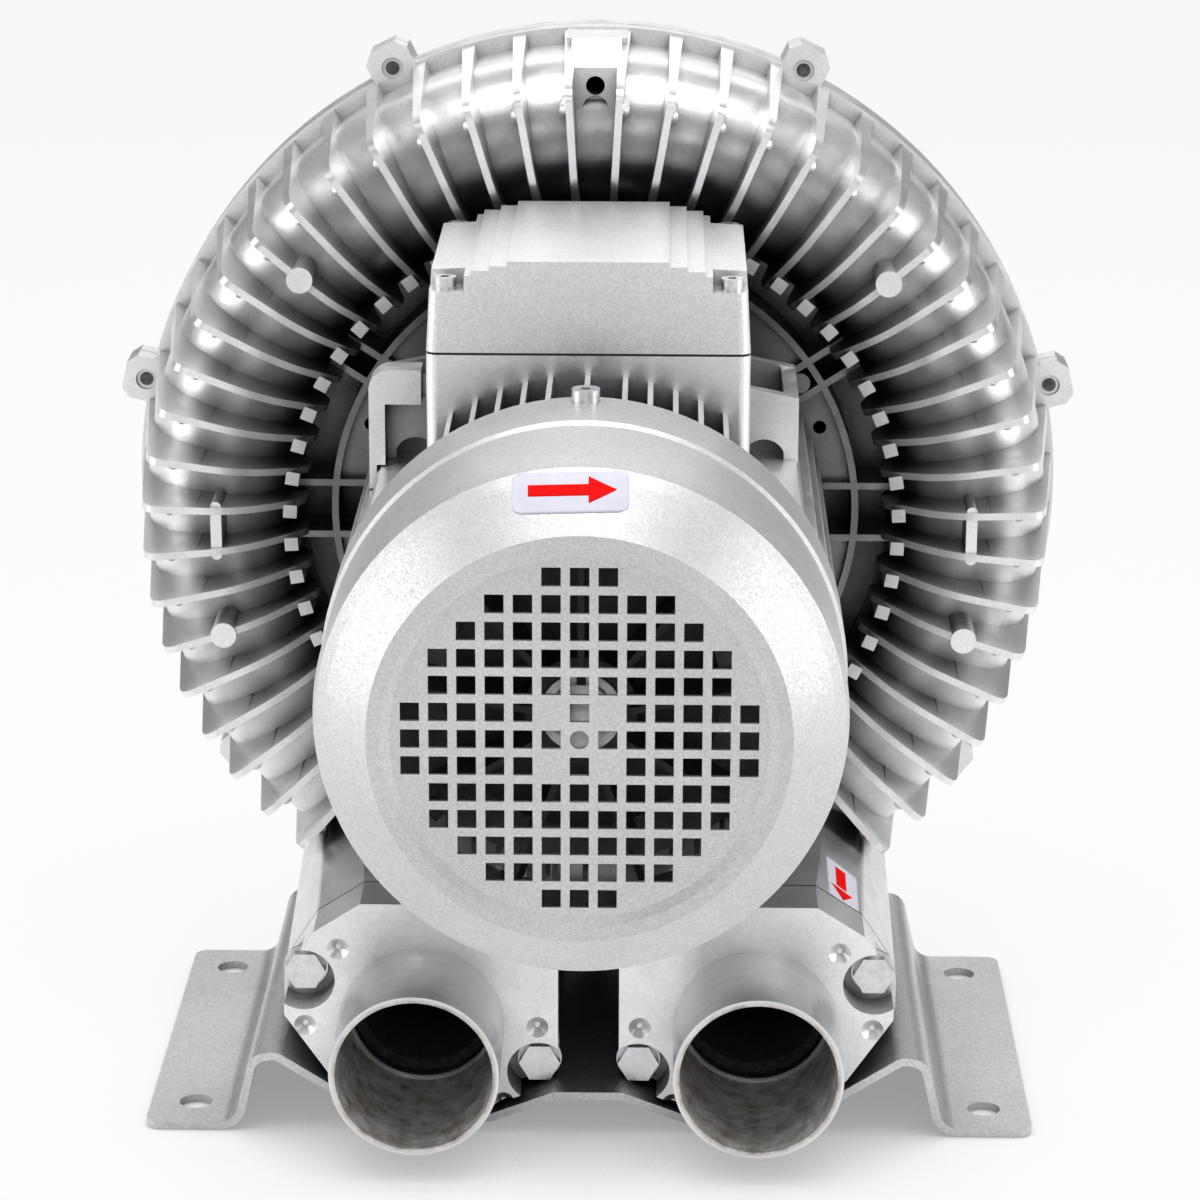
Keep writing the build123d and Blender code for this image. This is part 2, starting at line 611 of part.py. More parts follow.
# ---------------------------------------------------------------- ports
def port_outline():
    """Front outline of the right-hand port flange."""
    return [
        (DUCT_INNER_X - 1.0, SADDLE_Z + 3.5),
        (VALLEY_INNER_X + 4.0, VALLEY_Z + 1.0),
        (VALLEY_OUTER_X - 4.0, VALLEY_Z + 1.0),
        (PORT_X + 33.0, VALLEY_Z + 14.0),
        (DUCT_OUTER_X - 2.0, 45.0),
        (DUCT_OUTER_X - 2.0, 60.0),
        (DUCT_OUTER_X - 13.0, 77.0),
        (DUCT_OUTER_X - 30.0, 88.0),
        (DUCT_INNER_X - 1.0, 88.0),
    ]


def port_flange():
    back = FLANGE_FRONT_Y + FLANGE_T
    body = block(make_face(Polyline(*port_outline(), close=True)), FLANGE_FRONT_Y, back)
    seat = Pos(PORT_X, PORT_Z) * Circle(PIPE_R - SPIGOT_STEP + SEAT_FIT)
    tools = [block(seat, FLANGE_FRONT_Y, back - PIPE_SEAT_T),
             block(Pos(PORT_X, PORT_Z) * Circle(PIPE_R - PIPE_WALL - FLANGE_LIP), FLANGE_FRONT_Y, back)]
    for x, z in port_bolt_spots():
        tools.append(block(Pos(x, z) * Circle(PORT_POCKET_R), FLANGE_FRONT_Y, back - PORT_BOLT_GRIP))
        tools.append(block(Pos(x, z) * Circle(PORT_BOLT_D / 2 + HOLE_CLEARANCE), FLANGE_FRONT_Y, back))
    for angle in DIMPLE_ANGLES:
        x = PORT_X + DIMPLE_R * math.cos(math.radians(angle))
        z = PORT_Z + DIMPLE_R * math.sin(math.radians(angle))
        cone = Plane(origin=(x, FLANGE_FRONT_Y, z), z_dir=(0, 1, 0)) * Cone(
            4.0, 1.0, 2.5, align=(Align.CENTER, Align.CENTER, Align.MIN))
        tools.append(cone)
    return body.cut(*tools)


def port_pipe():
    end = FLANGE_FRONT_Y + FLANGE_T - PIPE_SEAT_T
    tube = block(Pos(PORT_X, PORT_Z) * Circle(PIPE_R), PIPE_FRONT_Y, FLANGE_FRONT_Y)
    tube += block(Pos(PORT_X, PORT_Z) * Circle(PIPE_R - SPIGOT_STEP), FLANGE_FRONT_Y, end)
    return tube - block(Pos(PORT_X, PORT_Z) * Circle(PIPE_R - PIPE_WALL), PIPE_FRONT_Y, end)


def port_gasket():
    shape = make_face(Polyline(*port_outline(), close=True))
    shape -= Pos(PORT_X, PORT_Z) * Circle(DUCT_BORE_D / 2 + 1.0)
    for x, z in port_bolt_spots():
        shape -= Pos(x, z) * Circle(PORT_BOLT_D / 2 + HOLE_CLEARANCE)
    return block(shape, FLANGE_FRONT_Y + FLANGE_T, DUCT_FRONT)


def port_silencer():
    """Foam sleeve that lines the duct."""
    sleeve = Circle(DUCT_BORE_D / 2 - SEAT_CLEARANCE) - Circle(SILENCER_D / 2)
    return block(Pos(PORT_X, PORT_Z) * sleeve, DUCT_FRONT + SEAT_CLEARANCE, DUCT_FRONT + SILENCER_LENGTH)


def port_bolt_seat():
    return FLANGE_FRONT_Y + FLANGE_T - PORT_BOLT_GRIP


def port_washers():
    flat = Circle(PORT_BOLT_D) - Circle(PORT_BOLT_D / 2 + HOLE_CLEARANCE)
    seat = port_bolt_seat()
    right = [block(Pos(x, z) * flat, seat - WASHER_T, seat) for x, z in port_bolt_spots()]
    return right + [mirrored(washer) for washer in right]


def port_bolts():
    seat = port_bolt_seat() - WASHER_T
    bolts = []
    for x, z in port_bolt_spots():
        head = block(Pos(x, z) * hexagon(PORT_BOLT_AF), seat - PORT_BOLT_HEAD, seat)
        shank = block(Pos(x, z) * Circle(PORT_BOLT_D / 2), seat, seat + PORT_BOLT_LENGTH)
        bolts.append(head + shank)
    return bolts + [mirrored(bolt) for bolt in bolts]


# ---------------------------------------------------------------- motor
def frame_fins():
    """Parallel fins on the four sides of the frame, trimmed to a round."""
    offsets = [0.0] + [side * (FRAME_FIN_PITCH * (k + 0.5)) for k in range(1, 6) for side in (-1, 1)]
    height = FRAME_FIN_R
    row = [Pos(x, height / 2) * Rectangle(FRAME_FIN_T, height) for x in offsets]
    sketch = Circle(FRAME_FIN_R) & Sketch(children=row)
    plates = bar(sketch, COWL_BACK_Y + 1.5, FRAME_BACK_Y)
    return [turn(plates, quarter) for quarter in (0, 90, 180, 270)]


def side_pad():
    """Right-hand foot pad of the frame: an upright bar carried by two arched webs."""
    inner = BOX_HALF_X - PAD_ROOT
    outer = PAD_X - PAD_T
    post = box_between(outer, PAD_X, PAD_FRONT_Y, PAD_BACK_Y, PAD_LOW_Z, PAD_TOP_Z)
    sides = Polyline((inner, PAD_ARCH_LOW_Z), (inner, PAD_TOP_Z + PAD_RISE), (PAD_X, PAD_TOP_Z),
                     (PAD_X, PAD_ARCH_LOW_Z + PAD_ARCH_STEP), (outer, PAD_ARCH_LOW_Z + PAD_ARCH_STEP))
    arch = ThreePointArc((outer, PAD_ARCH_LOW_Z + PAD_ARCH_STEP), ((inner + outer) / 2, PAD_ARCH_TOP_Z),
                         (inner, PAD_ARCH_LOW_Z))
    web = make_face([sides, arch])
    webs = [block(web, y, y + PAD_T) for y in (PAD_FRONT_Y, PAD_BACK_Y - PAD_T)]
    return post.fuse(*webs)


def side_elbow():
    """Elbow at the left of the terminal box: a short neck, a block and a bar turned down."""
    x_out = -PAD_X - 3.5
    z_top = PAD_TOP_Z + 12.0
    x_in = -BOX_HALF_X - 3.0
    shape = make_face(Polyline((x_in, z_top - 12.0), (x_in, z_top), (x_out, z_top), (x_out, ELBOW_LOW_Z),
                               (x_out + 5.5, ELBOW_LOW_Z), (x_out + 5.5, z_top - 12.0), close=True))
    shape = fillet(shape.vertices().sort_by(Axis.X)[:2].sort_by(Axis.Y)[-1], 7.0)
    body = block(shape, PAD_FRONT_Y - 12.0, PAD_FRONT_Y)
    body -= box_between(x_out + 2.5, x_in, PAD_FRONT_Y - 13.0, PAD_FRONT_Y + 1.0, *ELBOW_FIN_SLOT)
    neck = box_between(x_in, -BOX_HALF_X, PAD_FRONT_Y - 9.0, PAD_FRONT_Y - 3.0, z_top - 9.0, z_top - 3.0)
    return body + neck


def motor_frame():
    """Finned frame with the lower half of the terminal box cast on."""
    hollow = box_between(-BOX_HALF_X + BOX_WALL, BOX_HALF_X - BOX_WALL, BOX_FRONT_Y + BOX_WALL,
                         BOX_BACK_Y - BOX_WALL, BOX_FLOOR_Z, BOX_SPLIT_Z + 1.0)
    post = Cylinder(LID_SCREW_D + 1.0, 2 * (BOX_SPLIT_Z - BOX_FLOOR_Z))
    hollow = hollow.cut(*[Pos(x, y, BOX_SPLIT_Z) * post for x, y in lid_screw_spots()])
    taps = [Pos(x, y, BOX_SPLIT_Z) * Cylinder(LID_SCREW_D / 2 + RUNNING_CLEARANCE, 2 * LID_SCREW_BITE)
            for x, y in lid_screw_spots()]
    ties = [rod_y(*polar(TIE_R, angle), TIE_D / 2 + HOLE_CLEARANCE, FRAME_FRONT_Y, FRAME_BACK_Y)
            for angle in TIE_ANGLES]
    core = disc(FRAME_R - FRAME_WALL / 2, FRAME_FRONT_Y - 1.0, FRAME_BACK_Y + 1.0)
    box = box_between(-BOX_HALF_X, BOX_HALF_X, BOX_FRONT_Y, BOX_BACK_Y, AXIS_HEIGHT + 44.0, BOX_SPLIT_Z)
    box = fillet(box.edges().filter_by(Axis.Z), BOX_CORNER_R).cut(core, hollow, *taps, *ties)
    fins = [plates.cut(core, hollow) for plates in frame_fins()]
    pads = [pad.cut(*ties) for pad in (side_pad(), mirrored(side_pad()))]
    body = ring(STATOR_D / 2 + SEAT_FIT, FRAME_R, FRAME_FRONT_Y, FRAME_BACK_Y)
    return body.fuse(box, *fins, *pads)


def lid_screw_spots():
    """X and Y of the four lid screws, one in each corner of the box."""
    x_side = BOX_HALF_X - LID_SCREW_INSET
    y_front = BOX_FRONT_Y + LID_SCREW_INSET
    y_back = BOX_BACK_Y - LID_SCREW_INSET
    return [(x, y) for x in (-x_side, x_side) for y in (y_front, y_back)]


def lid_section(inset):
    """Front view of the lid: sides that draw in and a flat top in three steps."""
    half = BOX_HALF_X - inset
    top = LID_TOP_Z - inset
    right = [(27.0, top), (27.0, top - 1.6), (33.0, top - 1.6), (33.0, top - 3.2), (39.0, top - 3.2),
             (39.0, top - 4.8), (half - 1.5, top - 5.5), (half, BOX_SPLIT_Z + LID_GASKET_T)]
    left = [(-x, z) for x, z in reversed(right)]
    return make_face(Polyline(*left, *right, close=True))


def terminal_box_lid():
    body = block(lid_section(0), BOX_FRONT_Y, BOX_BACK_Y)
    inner = block(lid_section(BOX_WALL), BOX_FRONT_Y + BOX_WALL, BOX_BACK_Y - BOX_WALL)
    corners = body.edges().filter_by(lambda e: abs(e.center().X) > BOX_HALF_X - 3.0 and e.length < 40.0
                                     and abs(e.center().Y - BOX_FRONT_Y) * abs(e.center().Y - BOX_BACK_Y) < 1.0)
    body = fillet(corners, BOX_CORNER_R)
    post = Box(LID_POCKET + 6.0, LID_POCKET + 6.0, 80.0)
    posts = [Pos(x, y, BOX_SPLIT_Z) * post for x, y in lid_screw_spots()]
    body -= inner.cut(*posts)
    notch = [Pos(x, y, LID_POCKET_Z) * Box(LID_POCKET, LID_POCKET, 20.0,
                                           align=(Align.CENTER, Align.CENTER, Align.MIN))
             for x, y in lid_screw_spots()]
    holes = [Pos(x, y, LID_POCKET_Z) * Cylinder(LID_SCREW_D / 2 + HOLE_CLEARANCE, 80.0)
             for x, y in lid_screw_spots()]
    return body.cut(*notch, *holes)


def lid_gasket():
    y_mid = (BOX_FRONT_Y + BOX_BACK_Y) / 2
    outer = Rectangle(2 * BOX_HALF_X - 2.0, BOX_BACK_Y - BOX_FRONT_Y - 2.0)
    inner = Rectangle(2 * (BOX_HALF_X - BOX_WALL), BOX_BACK_Y - BOX_FRONT_Y - 2 * BOX_WALL)
    frame = Plane(origin=(0, y_mid, BOX_SPLIT_Z)) * (outer - inner)
    ringed = extrude(frame, amount=LID_GASKET_T)
    holes = [Pos(x, y, BOX_SPLIT_Z) * Cylinder(LID_SCREW_D / 2 + HOLE_CLEARANCE, 10.0)
             for x, y in lid_screw_spots()]
    return ringed.cut(*holes)


def lid_screws():
    low = (Align.CENTER, Align.CENTER, Align.MIN)
    high = (Align.CENTER, Align.CENTER, Align.MAX)
    length = LID_POCKET_Z - BOX_SPLIT_Z + LID_SCREW_BITE - 1.0
    head = Cylinder(LID_SCREW_HEAD_D / 2, LID_SCREW_D, align=low)
    slot = Pos(0, 0, LID_SCREW_D) * extrude(hexagon(3.0), amount=-2.0)
    screw = head + Cylinder(LID_SCREW_D / 2, length, align=high) - slot
    return [Pos(x, y, LID_POCKET_Z) * screw for x, y in lid_screw_spots()]


def terminal_board():
    y_mid = (BOX_FRONT_Y + BOX_BACK_Y) / 2
    low = (Align.CENTER, Align.CENTER, Align.MIN)
    board = Pos(0, y_mid, BOX_FLOOR_Z) * Box(60.0, 44.0, 10.0, align=low)
    rib = Pos(0, y_mid, BOX_FLOOR_Z + 10.0) * Box(60.0, 2.0, 5.0, align=low)
    hole = Cylinder(STUD_D / 2 + RUNNING_CLEARANCE, 40.0)
    holes = [Pos(x, y, BOX_FLOOR_Z) * hole for x, y in stud_spots()]
    return (board + rib).cut(*holes)


def stud_spots():
    y_mid = (BOX_FRONT_Y + BOX_BACK_Y) / 2
    return [(x, y_mid + y) for x in (-18.0, 0.0, 18.0) for y in (-13.0, 13.0)]


def terminal_studs():
    """Brass studs, each with its nut."""
    low = (Align.CENTER, Align.CENTER, Align.MIN)
    stud = Pos(0, 0, BOX_FLOOR_Z + 1.0) * Cylinder(STUD_D / 2, 24.0, align=low)
    nut = Pos(0, 0, BOX_FLOOR_Z + 10.0) * extrude(hexagon(2 * STUD_D), amount=4.0)
    return [Pos(x, y) * (stud + nut) for x, y in stud_spots()]


def stator_core():
    return ring(STATOR_BORE_D / 2, STATOR_D / 2, STATOR_FRONT_Y, STATOR_FRONT_Y + STATOR_LENGTH)


def stator_windings():
    """The two end coils."""
    r_in = STATOR_BORE_D / 2 + 3.0
    r_out = STATOR_D / 2 - 4.0
    back = STATOR_FRONT_Y + STATOR_LENGTH
    coils = []
    for y0 in (STATOR_FRONT_Y - COIL_T, back):
        coil = ring(r_in, r_out, y0, y0 + COIL_T)
        coils.append(fillet(coil.edges(), 5.0))
    return coils


def drive_end_shield():
    """Disc that closes the motor, carries the drive-end bearing and sits on the casing hub."""
    body = disc(SHIELD_R, FRAME_BACK_Y, SHIELD_FACE)
    seat_front = DRIVE_BEARING_Y - BEARING_T / 2
    seat_back = DRIVE_BEARING_Y + BEARING_T / 2
    body += disc(BEARING_D / 2 + 6.0, seat_front - 1.0, FRAME_BACK_Y)
    tools = [disc(BEARING_D / 2 + SEAT_FIT, seat_front - 2.0, seat_back),
             disc(SHAFT_D / 2 + 1.5, FRAME_BACK_Y - 2.0, SHIELD_FACE + 1.0)]
    screw_r = SHIELD_SCREW_D / 2 + HOLE_CLEARANCE
    tools += [rod_y(*polar(SHIELD_SCREW_R, angle), screw_r, FRAME_BACK_Y, SHIELD_FACE)
              for angle in SHIELD_SCREW_ANGLES]
    tools += [rod_y(*polar(TIE_R, angle), TIE_D / 2 + RUNNING_CLEARANCE, FRAME_BACK_Y, SHIELD_FACE)
              for angle in TIE_ANGLES]
    return body.cut(*tools)


def shield_screws():
    seat = FRAME_BACK_Y
    screws = []
    for angle in SHIELD_SCREW_ANGLES:
        x, z = polar(SHIELD_SCREW_R, angle)
        screw = socket_screw(SHIELD_SCREW_D, WEB_FRONT - 3.0 - seat, seat, -1)
        screws.append(Pos(x, 0, z) * screw)
    return screws


def fan_end_shield():
    """Disc that carries the fan-end bearing; four ears take the cowl screws."""
    front = FRAME_FRONT_Y - END_SHIELD_T
    sketch = Circle(FRAME_R + 4.0)
    for quarter in COWL_SCREW_ANGLES:
        sketch += Rot(0, 0, -quarter) * Pos(0, EAR_R / 2) * Rectangle(16.0, EAR_R)
    for angle in TIE_ANGLES:
        sketch += Rot(0, 0, -angle) * Pos(0, TIE_R / 2) * Rectangle(2.6 * TIE_D, TIE_R + 1.3 * TIE_D)
    body = bar(sketch & Circle(EAR_R), front, FRAME_FRONT_Y)
    seat_front = FAN_BEARING_Y - BEARING_T / 2
    seat_back = FAN_BEARING_Y + BEARING_T / 2
    body += disc(BEARING_D / 2 + 6.0, seat_front - 2.0, seat_back + 1.0)
    tools = [disc(BEARING_D / 2 + SEAT_FIT, FAN_BEARING_Y - BEARING_T / 2 - SPRING_T,
                  FAN_BEARING_Y + BEARING_T / 2 + 2.0),
             disc(SHAFT_D / 2 + 1.5, FAN_BEARING_Y - BEARING_T, FAN_BEARING_Y)]
    tie_r = TIE_D / 2 + HOLE_CLEARANCE
    tools += [rod_y(*polar(TIE_R, angle), tie_r, front, FRAME_FRONT_Y) for angle in TIE_ANGLES]
    tools += [turn(cowl_hole(COWL_SCREW_D / 2 + RUNNING_CLEARANCE), angle) for angle in COWL_SCREW_ANGLES]
    return body.cut(*tools)


def cowl_hole(radius):
    """An upright hole at the top of the cowl's collar, as deep as a cowl screw."""
    return Pos(0, COWL_SCREW_Y, AXIS_HEIGHT + EAR_R - COWL_SCREW_BITE) * Cylinder(
        radius, 2 * COWL_SCREW_BITE, align=(Align.CENTER, Align.CENTER, Align.MIN))


def tie_bolts():
    """Long screws that clamp both end shields to the frame."""
    front = FRAME_FRONT_Y - END_SHIELD_T
    bolt = socket_screw(TIE_D, SHIELD_FACE - 1.0 - front, front, -1)
    places = [polar(TIE_R, angle) for angle in TIE_ANGLES]
    return [Pos(x, 0, z) * bolt for x, z in places]


def wave_spring():
    y = FAN_BEARING_Y - BEARING_T / 2
    return ring(BEARING_D / 2 - 5.0, BEARING_D / 2 - 0.5, y - SPRING_T, y)


def shaft_seal():
    return ring(SHAFT_D / 2 + RUNNING_CLEARANCE, HUB_BORE_R, WEB_FRONT - 3.0, WEB_FRONT + 4.0)


# ---------------------------------------------------------------- bearings
def ball_track(extra):
    """The ring of space that the balls run in."""
    return revolved(Pos(BALL_PITCH_R, 0) * Circle(BALL_D / 2 + extra))


def bearing_outer(y):
    body = ring(BEARING_D / 2 - RACE_T, BEARING_D / 2, -BEARING_T / 2, BEARING_T / 2)
    return Pos(0, y, 0) * (body - ball_track(RUNNING_CLEARANCE))


def bearing_inner(y):
    body = ring(SHAFT_D / 2 + SEAT_FIT, BEARING_BORE / 2 + RACE_T, -BEARING_T / 2, BEARING_T / 2)
    return Pos(0, y, 0) * (body - ball_track(RUNNING_CLEARANCE))


def ball_spots():
    return [polar(BALL_PITCH_R, k * 360.0 / BALL_COUNT) for k in range(BALL_COUNT)]


def bearing_balls(y):
    return [Pos(x, y, AXIS_HEIGHT + z) * Sphere(BALL_D / 2) for x, z in ball_spots()]


def bearing_cage(y):
    r_in = BEARING_BORE / 2 + RACE_T + 1.2
    r_out = BEARING_D / 2 - RACE_T - 1.2
    half = BALL_D / 2 + 1.2
    pocket = Sphere(BALL_D / 2 + 2 * RUNNING_CLEARANCE)
    pockets = [Pos(x, 0, AXIS_HEIGHT + z) * pocket for x, z in ball_spots()]
    return Pos(0, y, 0) * ring(r_in, r_out, -half, half).cut(*pockets)


# ---------------------------------------------------------------- rotor
def shaft():
    """Stepped shaft: fan seat, bearing seats, core seat and the impeller's seat."""
    body = disc(FAN_SEAT_R, FAN_FRONT_Y + 4.0, FAN_BEARING_Y - BEARING_T / 2 - 3.0)
    body += disc(SHAFT_D / 2, FAN_BEARING_Y - BEARING_T / 2 - 3.0, IMPELLER_HUB_FRONT)
    body += disc(SHAFT_D / 2 + 2.5, FAN_BEARING_Y + BEARING_T / 2, DRIVE_BEARING_Y - BEARING_T / 2)
    body += disc(IMPELLER_SEAT_R, IMPELLER_HUB_FRONT, SHAFT_END_Y)
    tap = disc(IMPELLER_BOLT_D / 2 + RUNNING_CLEARANCE, SHAFT_END_Y - 26.0, SHAFT_END_Y + 1.0)
    return body - tap - key_space(SEAT_FIT) - fan_key_space(SEAT_FIT)


def key_space(extra):
    """Space of the impeller's key, half in the shaft and half in the hub."""
    return box_between(-KEY_W / 2 - extra, KEY_W / 2 + extra, IMPELLER_HUB_FRONT + 6.0 - extra,
                       SHAFT_END_Y - 6.0 + extra, AXIS_HEIGHT + IMPELLER_SEAT_R - KEY_W / 2 - extra,
                       AXIS_HEIGHT + IMPELLER_SEAT_R + KEY_W / 2 + extra)


def fan_key_space(extra):
    half = KEY_W / 4 + extra
    middle = AXIS_HEIGHT + FAN_SEAT_R
    return box_between(-half, half, FAN_HUB_FRONT + 2.0 - extra, FAN_BACK_Y - 2.0 + extra,
                       middle - half, middle + half)


def rotor_core():
    return ring(SHAFT_D / 2 + 2.5 + SEAT_FIT, STATOR_BORE_D / 2 - AIR_GAP, STATOR_FRONT_Y,
                STATOR_FRONT_Y + STATOR_LENGTH)


def rotor_end_rings():
    """Short-circuit rings at both ends of the core, with balance pegs."""
    r_out = STATOR_BORE_D / 2 - AIR_GAP - 1.0
    back = STATOR_FRONT_Y + STATOR_LENGTH
    return [ring(r_out - 12.0, r_out, STATOR_FRONT_Y - ROTOR_RING_T, STATOR_FRONT_Y),
            ring(r_out - 12.0, r_out, back, back + ROTOR_RING_T)]


def impeller():
    """Disc with a ring of blades that stand out on both faces at the rim."""
    sketch = strip(IMPELLER_SEAT_R + SEAT_FIT, IMPELLER_HUB_R, IMPELLER_HUB_FRONT, SHAFT_END_Y)
    disc_half = IMPELLER_DISC_T / 2
    sketch += strip(IMPELLER_SEAT_R + SEAT_FIT, BLADE_ROOT_R, SPLIT_Y - disc_half, SPLIT_Y + disc_half)
    sketch += strip(BLADE_ROOT_R - 5.0, BLADE_ROOT_R, IMPELLER_FRONT, IMPELLER_BACK)
    sketch += strip(BLADE_ROOT_R - 1.0, IMPELLER_R, SPLIT_Y - 1.5, SPLIT_Y + 1.5)
    body = revolved(sketch)
    length = IMPELLER_R - BLADE_ROOT_R + 1.0
    blade = bar(Pos(0, IMPELLER_R - length / 2) * Rectangle(BLADE_T, length), IMPELLER_FRONT, IMPELLER_BACK)
    body = body.fuse(*[turn(blade, k * 360.0 / BLADE_COUNT) for k in range(BLADE_COUNT)])
    return body - key_space(SEAT_FIT)


def impeller_key():
    return key_space(0)


def impeller_washer():
    return ring(IMPELLER_BOLT_D / 2 + HOLE_CLEARANCE, IMPELLER_SEAT_R + 4.0, SHAFT_END_Y, SHAFT_END_Y + 3.0)


def impeller_bolt():
    seat = SHAFT_END_Y + 3.0
    head = bar(hexagon(1.7 * IMPELLER_BOLT_D), seat, seat + 0.64 * IMPELLER_BOLT_D)
    return head + disc(IMPELLER_BOLT_D / 2, seat - 26.0, seat)


def cooling_fan():
    """Straight-bladed fan: hub, back plate and flat radial blades."""
    body = ring(FAN_SEAT_R + SEAT_FIT, FAN_SEAT_R + 8.0, FAN_HUB_FRONT, FAN_BACK_Y)
    body += ring(FAN_SEAT_R + 4.0, FAN_R * 0.62, FAN_BACK_Y - 2.5, FAN_BACK_Y)
    start = FAN_SEAT_R + 6.0
    blade = bar(Pos(0, (start + FAN_R) / 2) * Rectangle(2.2, FAN_R - start), FAN_FRONT_Y, FAN_BACK_Y)
    body = body.fuse(*[turn(blade, k * 360.0 / FAN_BLADES) for k in range(FAN_BLADES)])
    return body - fan_key_space(SEAT_FIT)


def fan_key():
    return fan_key_space(0)


def fan_clip():
    """Spring clip that holds the fan on its seat."""
    y = FAN_HUB_FRONT - 1.6
    clip = ring(FAN_SEAT_R + SEAT_FIT, FAN_SEAT_R + 3.0, y, y + 1.5)
    return clip - box_between(-1.5, 1.5, y - 1.0, y + 3.0, AXIS_HEIGHT, AXIS_HEIGHT + FAN_R)


# ---------------------------------------------------------------- fan cowl
def cowl_outline(inset):
    """Half outline of the cowl as (radius, y), drawn in by inset."""
    ridge = COWL_RIDGE_R
    return [
        (0, COWL_FRONT_Y + GRILLE_RECESS + inset),
        (GRILLE_R, COWL_FRONT_Y + GRILLE_RECESS + inset),
        (GRILLE_R + 3.0, COWL_FRONT_Y + inset + 0.3),
        (ridge - inset * 0.3, COWL_FRONT_Y + inset),
        (COWL_R - 4.5 - inset, COWL_SHOULDER_Y - 9.5 + inset * 0.5),
        (COWL_R - 1.2 - inset, COWL_SHOULDER_Y - 5.5),
        (COWL_R - inset, COWL_SHOULDER_Y),
        (COWL_R - inset, COWL_COLLAR_Y - 1.5),
        (COWL_R + COWL_STEP - inset, COWL_COLLAR_Y),
        (COWL_R + COWL_STEP - inset, COWL_BACK_Y),
    ]


def grille_cells():
    """Column and row numbers of the grille's openings."""
    reach = {0: 6, 1: 6, 2: 5, 3: 5, 4: 4, 5: 3, 6: 1}
    cells = []
    for row in range(-6, 7):
        for col in range(-reach[abs(row)], reach[abs(row)] + 1):
            near_middle = abs(row) == 1 and abs(col) == 1
            if not near_middle and (row, col) != (0, 0):
                cells.append((col, row))
    return cells


def fan_cowl():
    """Turned shell with a square-holed grille in its recessed front."""
    outer = turned(cowl_outline(0) + [(0, COWL_BACK_Y)])
    inner = turned(cowl_outline(COWL_WALL)[:-1] + [(COWL_R + COWL_STEP - COWL_WALL, COWL_BACK_Y + 1.0),
                                                  (0, COWL_BACK_Y + 1.0)])
    body = outer - inner
    hole = Rectangle(GRILLE_HOLE, GRILLE_HOLE)
    holes = [Pos(col * GRILLE_PITCH, row * GRILLE_PITCH) * hole for col, row in grille_cells()]
    cutter = bar(Sketch(children=holes) + Circle(GRILLE_HOLE / 2), COWL_FRONT_Y - 1.0, COWL_FRONT_Y + 8.0)
    screws = [turn(cowl_hole(COWL_SCREW_D / 2 + HOLE_CLEARANCE), angle) for angle in COWL_SCREW_ANGLES]
    return body.cut(cutter, *screws)


def cowl_screws():
    low = (Align.CENTER, Align.CENTER, Align.MIN)
    high = (Align.CENTER, Align.CENTER, Align.MAX)
    seat = COWL_R + COWL_STEP
    head = Cylinder(COWL_SCREW_HEAD_D / 2, 4.0, align=low)
    socket = Pos(0, 0, 4.0) * extrude(hexagon(3.0), amount=-2.0)
    screw = head - socket + Cylinder(COWL_SCREW_D / 2, seat - EAR_R + COWL_SCREW_BITE - 1.0, align=high)
    screw = Pos(0, COWL_SCREW_Y, AXIS_HEIGHT + seat) * screw
    return [turn(screw, angle) for angle in COWL_SCREW_ANGLES]


NODES = {
    "base_bracket": base_bracket,
    "bracket_screws": bracket_screws,
    "blower_housing": blower_housing,
    "housing_cover": housing_cover,
    "cover_seal": cover_seal,
    "cover_screws": cover_screws,
    "inlet_flange": lambda: mirrored(port_flange()),
    "outlet_flange": port_flange,
    "inlet_pipe": lambda: mirrored(port_pipe()),
    "outlet_pipe": port_pipe,
    "inlet_gasket": lambda: mirrored(port_gasket()),
    "outlet_gasket": port_gasket,
    "inlet_silencer": lambda: mirrored(port_silencer()),
    "outlet_silencer": port_silencer,
    "port_bolts": port_bolts,
    "port_washers": port_washers,
    "motor_frame": motor_frame,
    "stator_core": stator_core,
    "stator_windings": stator_windings,
    "drive_end_shield": drive_end_shield,
    "shield_screws": shield_screws,
    "fan_end_shield": fan_end_shield,
    "tie_bolts": tie_bolts,
    "wave_spring": wave_spring,
    "shaft_seal": shaft_seal,
    "side_elbow": side_elbow,
    "terminal_box_lid": terminal_box_lid,
    "lid_gasket": lid_gasket,
    "lid_screws": lid_screws,
    "terminal_board": terminal_board,
    "terminal_studs": terminal_studs,
    "fan_cowl": fan_cowl,
    "cowl_screws": cowl_screws,
    "drive_bearing_outer": lambda: bearing_outer(DRIVE_BEARING_Y),
    "drive_bearing_inner": lambda: bearing_inner(DRIVE_BEARING_Y),
    "drive_bearing_balls": lambda: bearing_balls(DRIVE_BEARING_Y),
    "drive_bearing_cage": lambda: bearing_cage(DRIVE_BEARING_Y),
    "fan_bearing_outer": lambda: bearing_outer(FAN_BEARING_Y),
    "fan_bearing_inner": lambda: bearing_inner(FAN_BEARING_Y),
    "fan_bearing_balls": lambda: bearing_balls(FAN_BEARING_Y),
    "fan_bearing_cage": lambda: bearing_cage(FAN_BEARING_Y),
    "shaft": shaft,
    "rotor_core": rotor_core,
    "rotor_end_rings": rotor_end_rings,
    "impeller": impeller,
    "impeller_key": impeller_key,
    "impeller_washer": impeller_washer,
    "impeller_bolt": impeller_bolt,
    "cooling_fan": cooling_fan,
    "fan_key": fan_key,
    "fan_clip": fan_clip,
}


def main():
    os.makedirs("parts", exist_ok=True)
    for name, make in NODES.items():
        write(name, make())


if __name__ == "__main__":
    main()
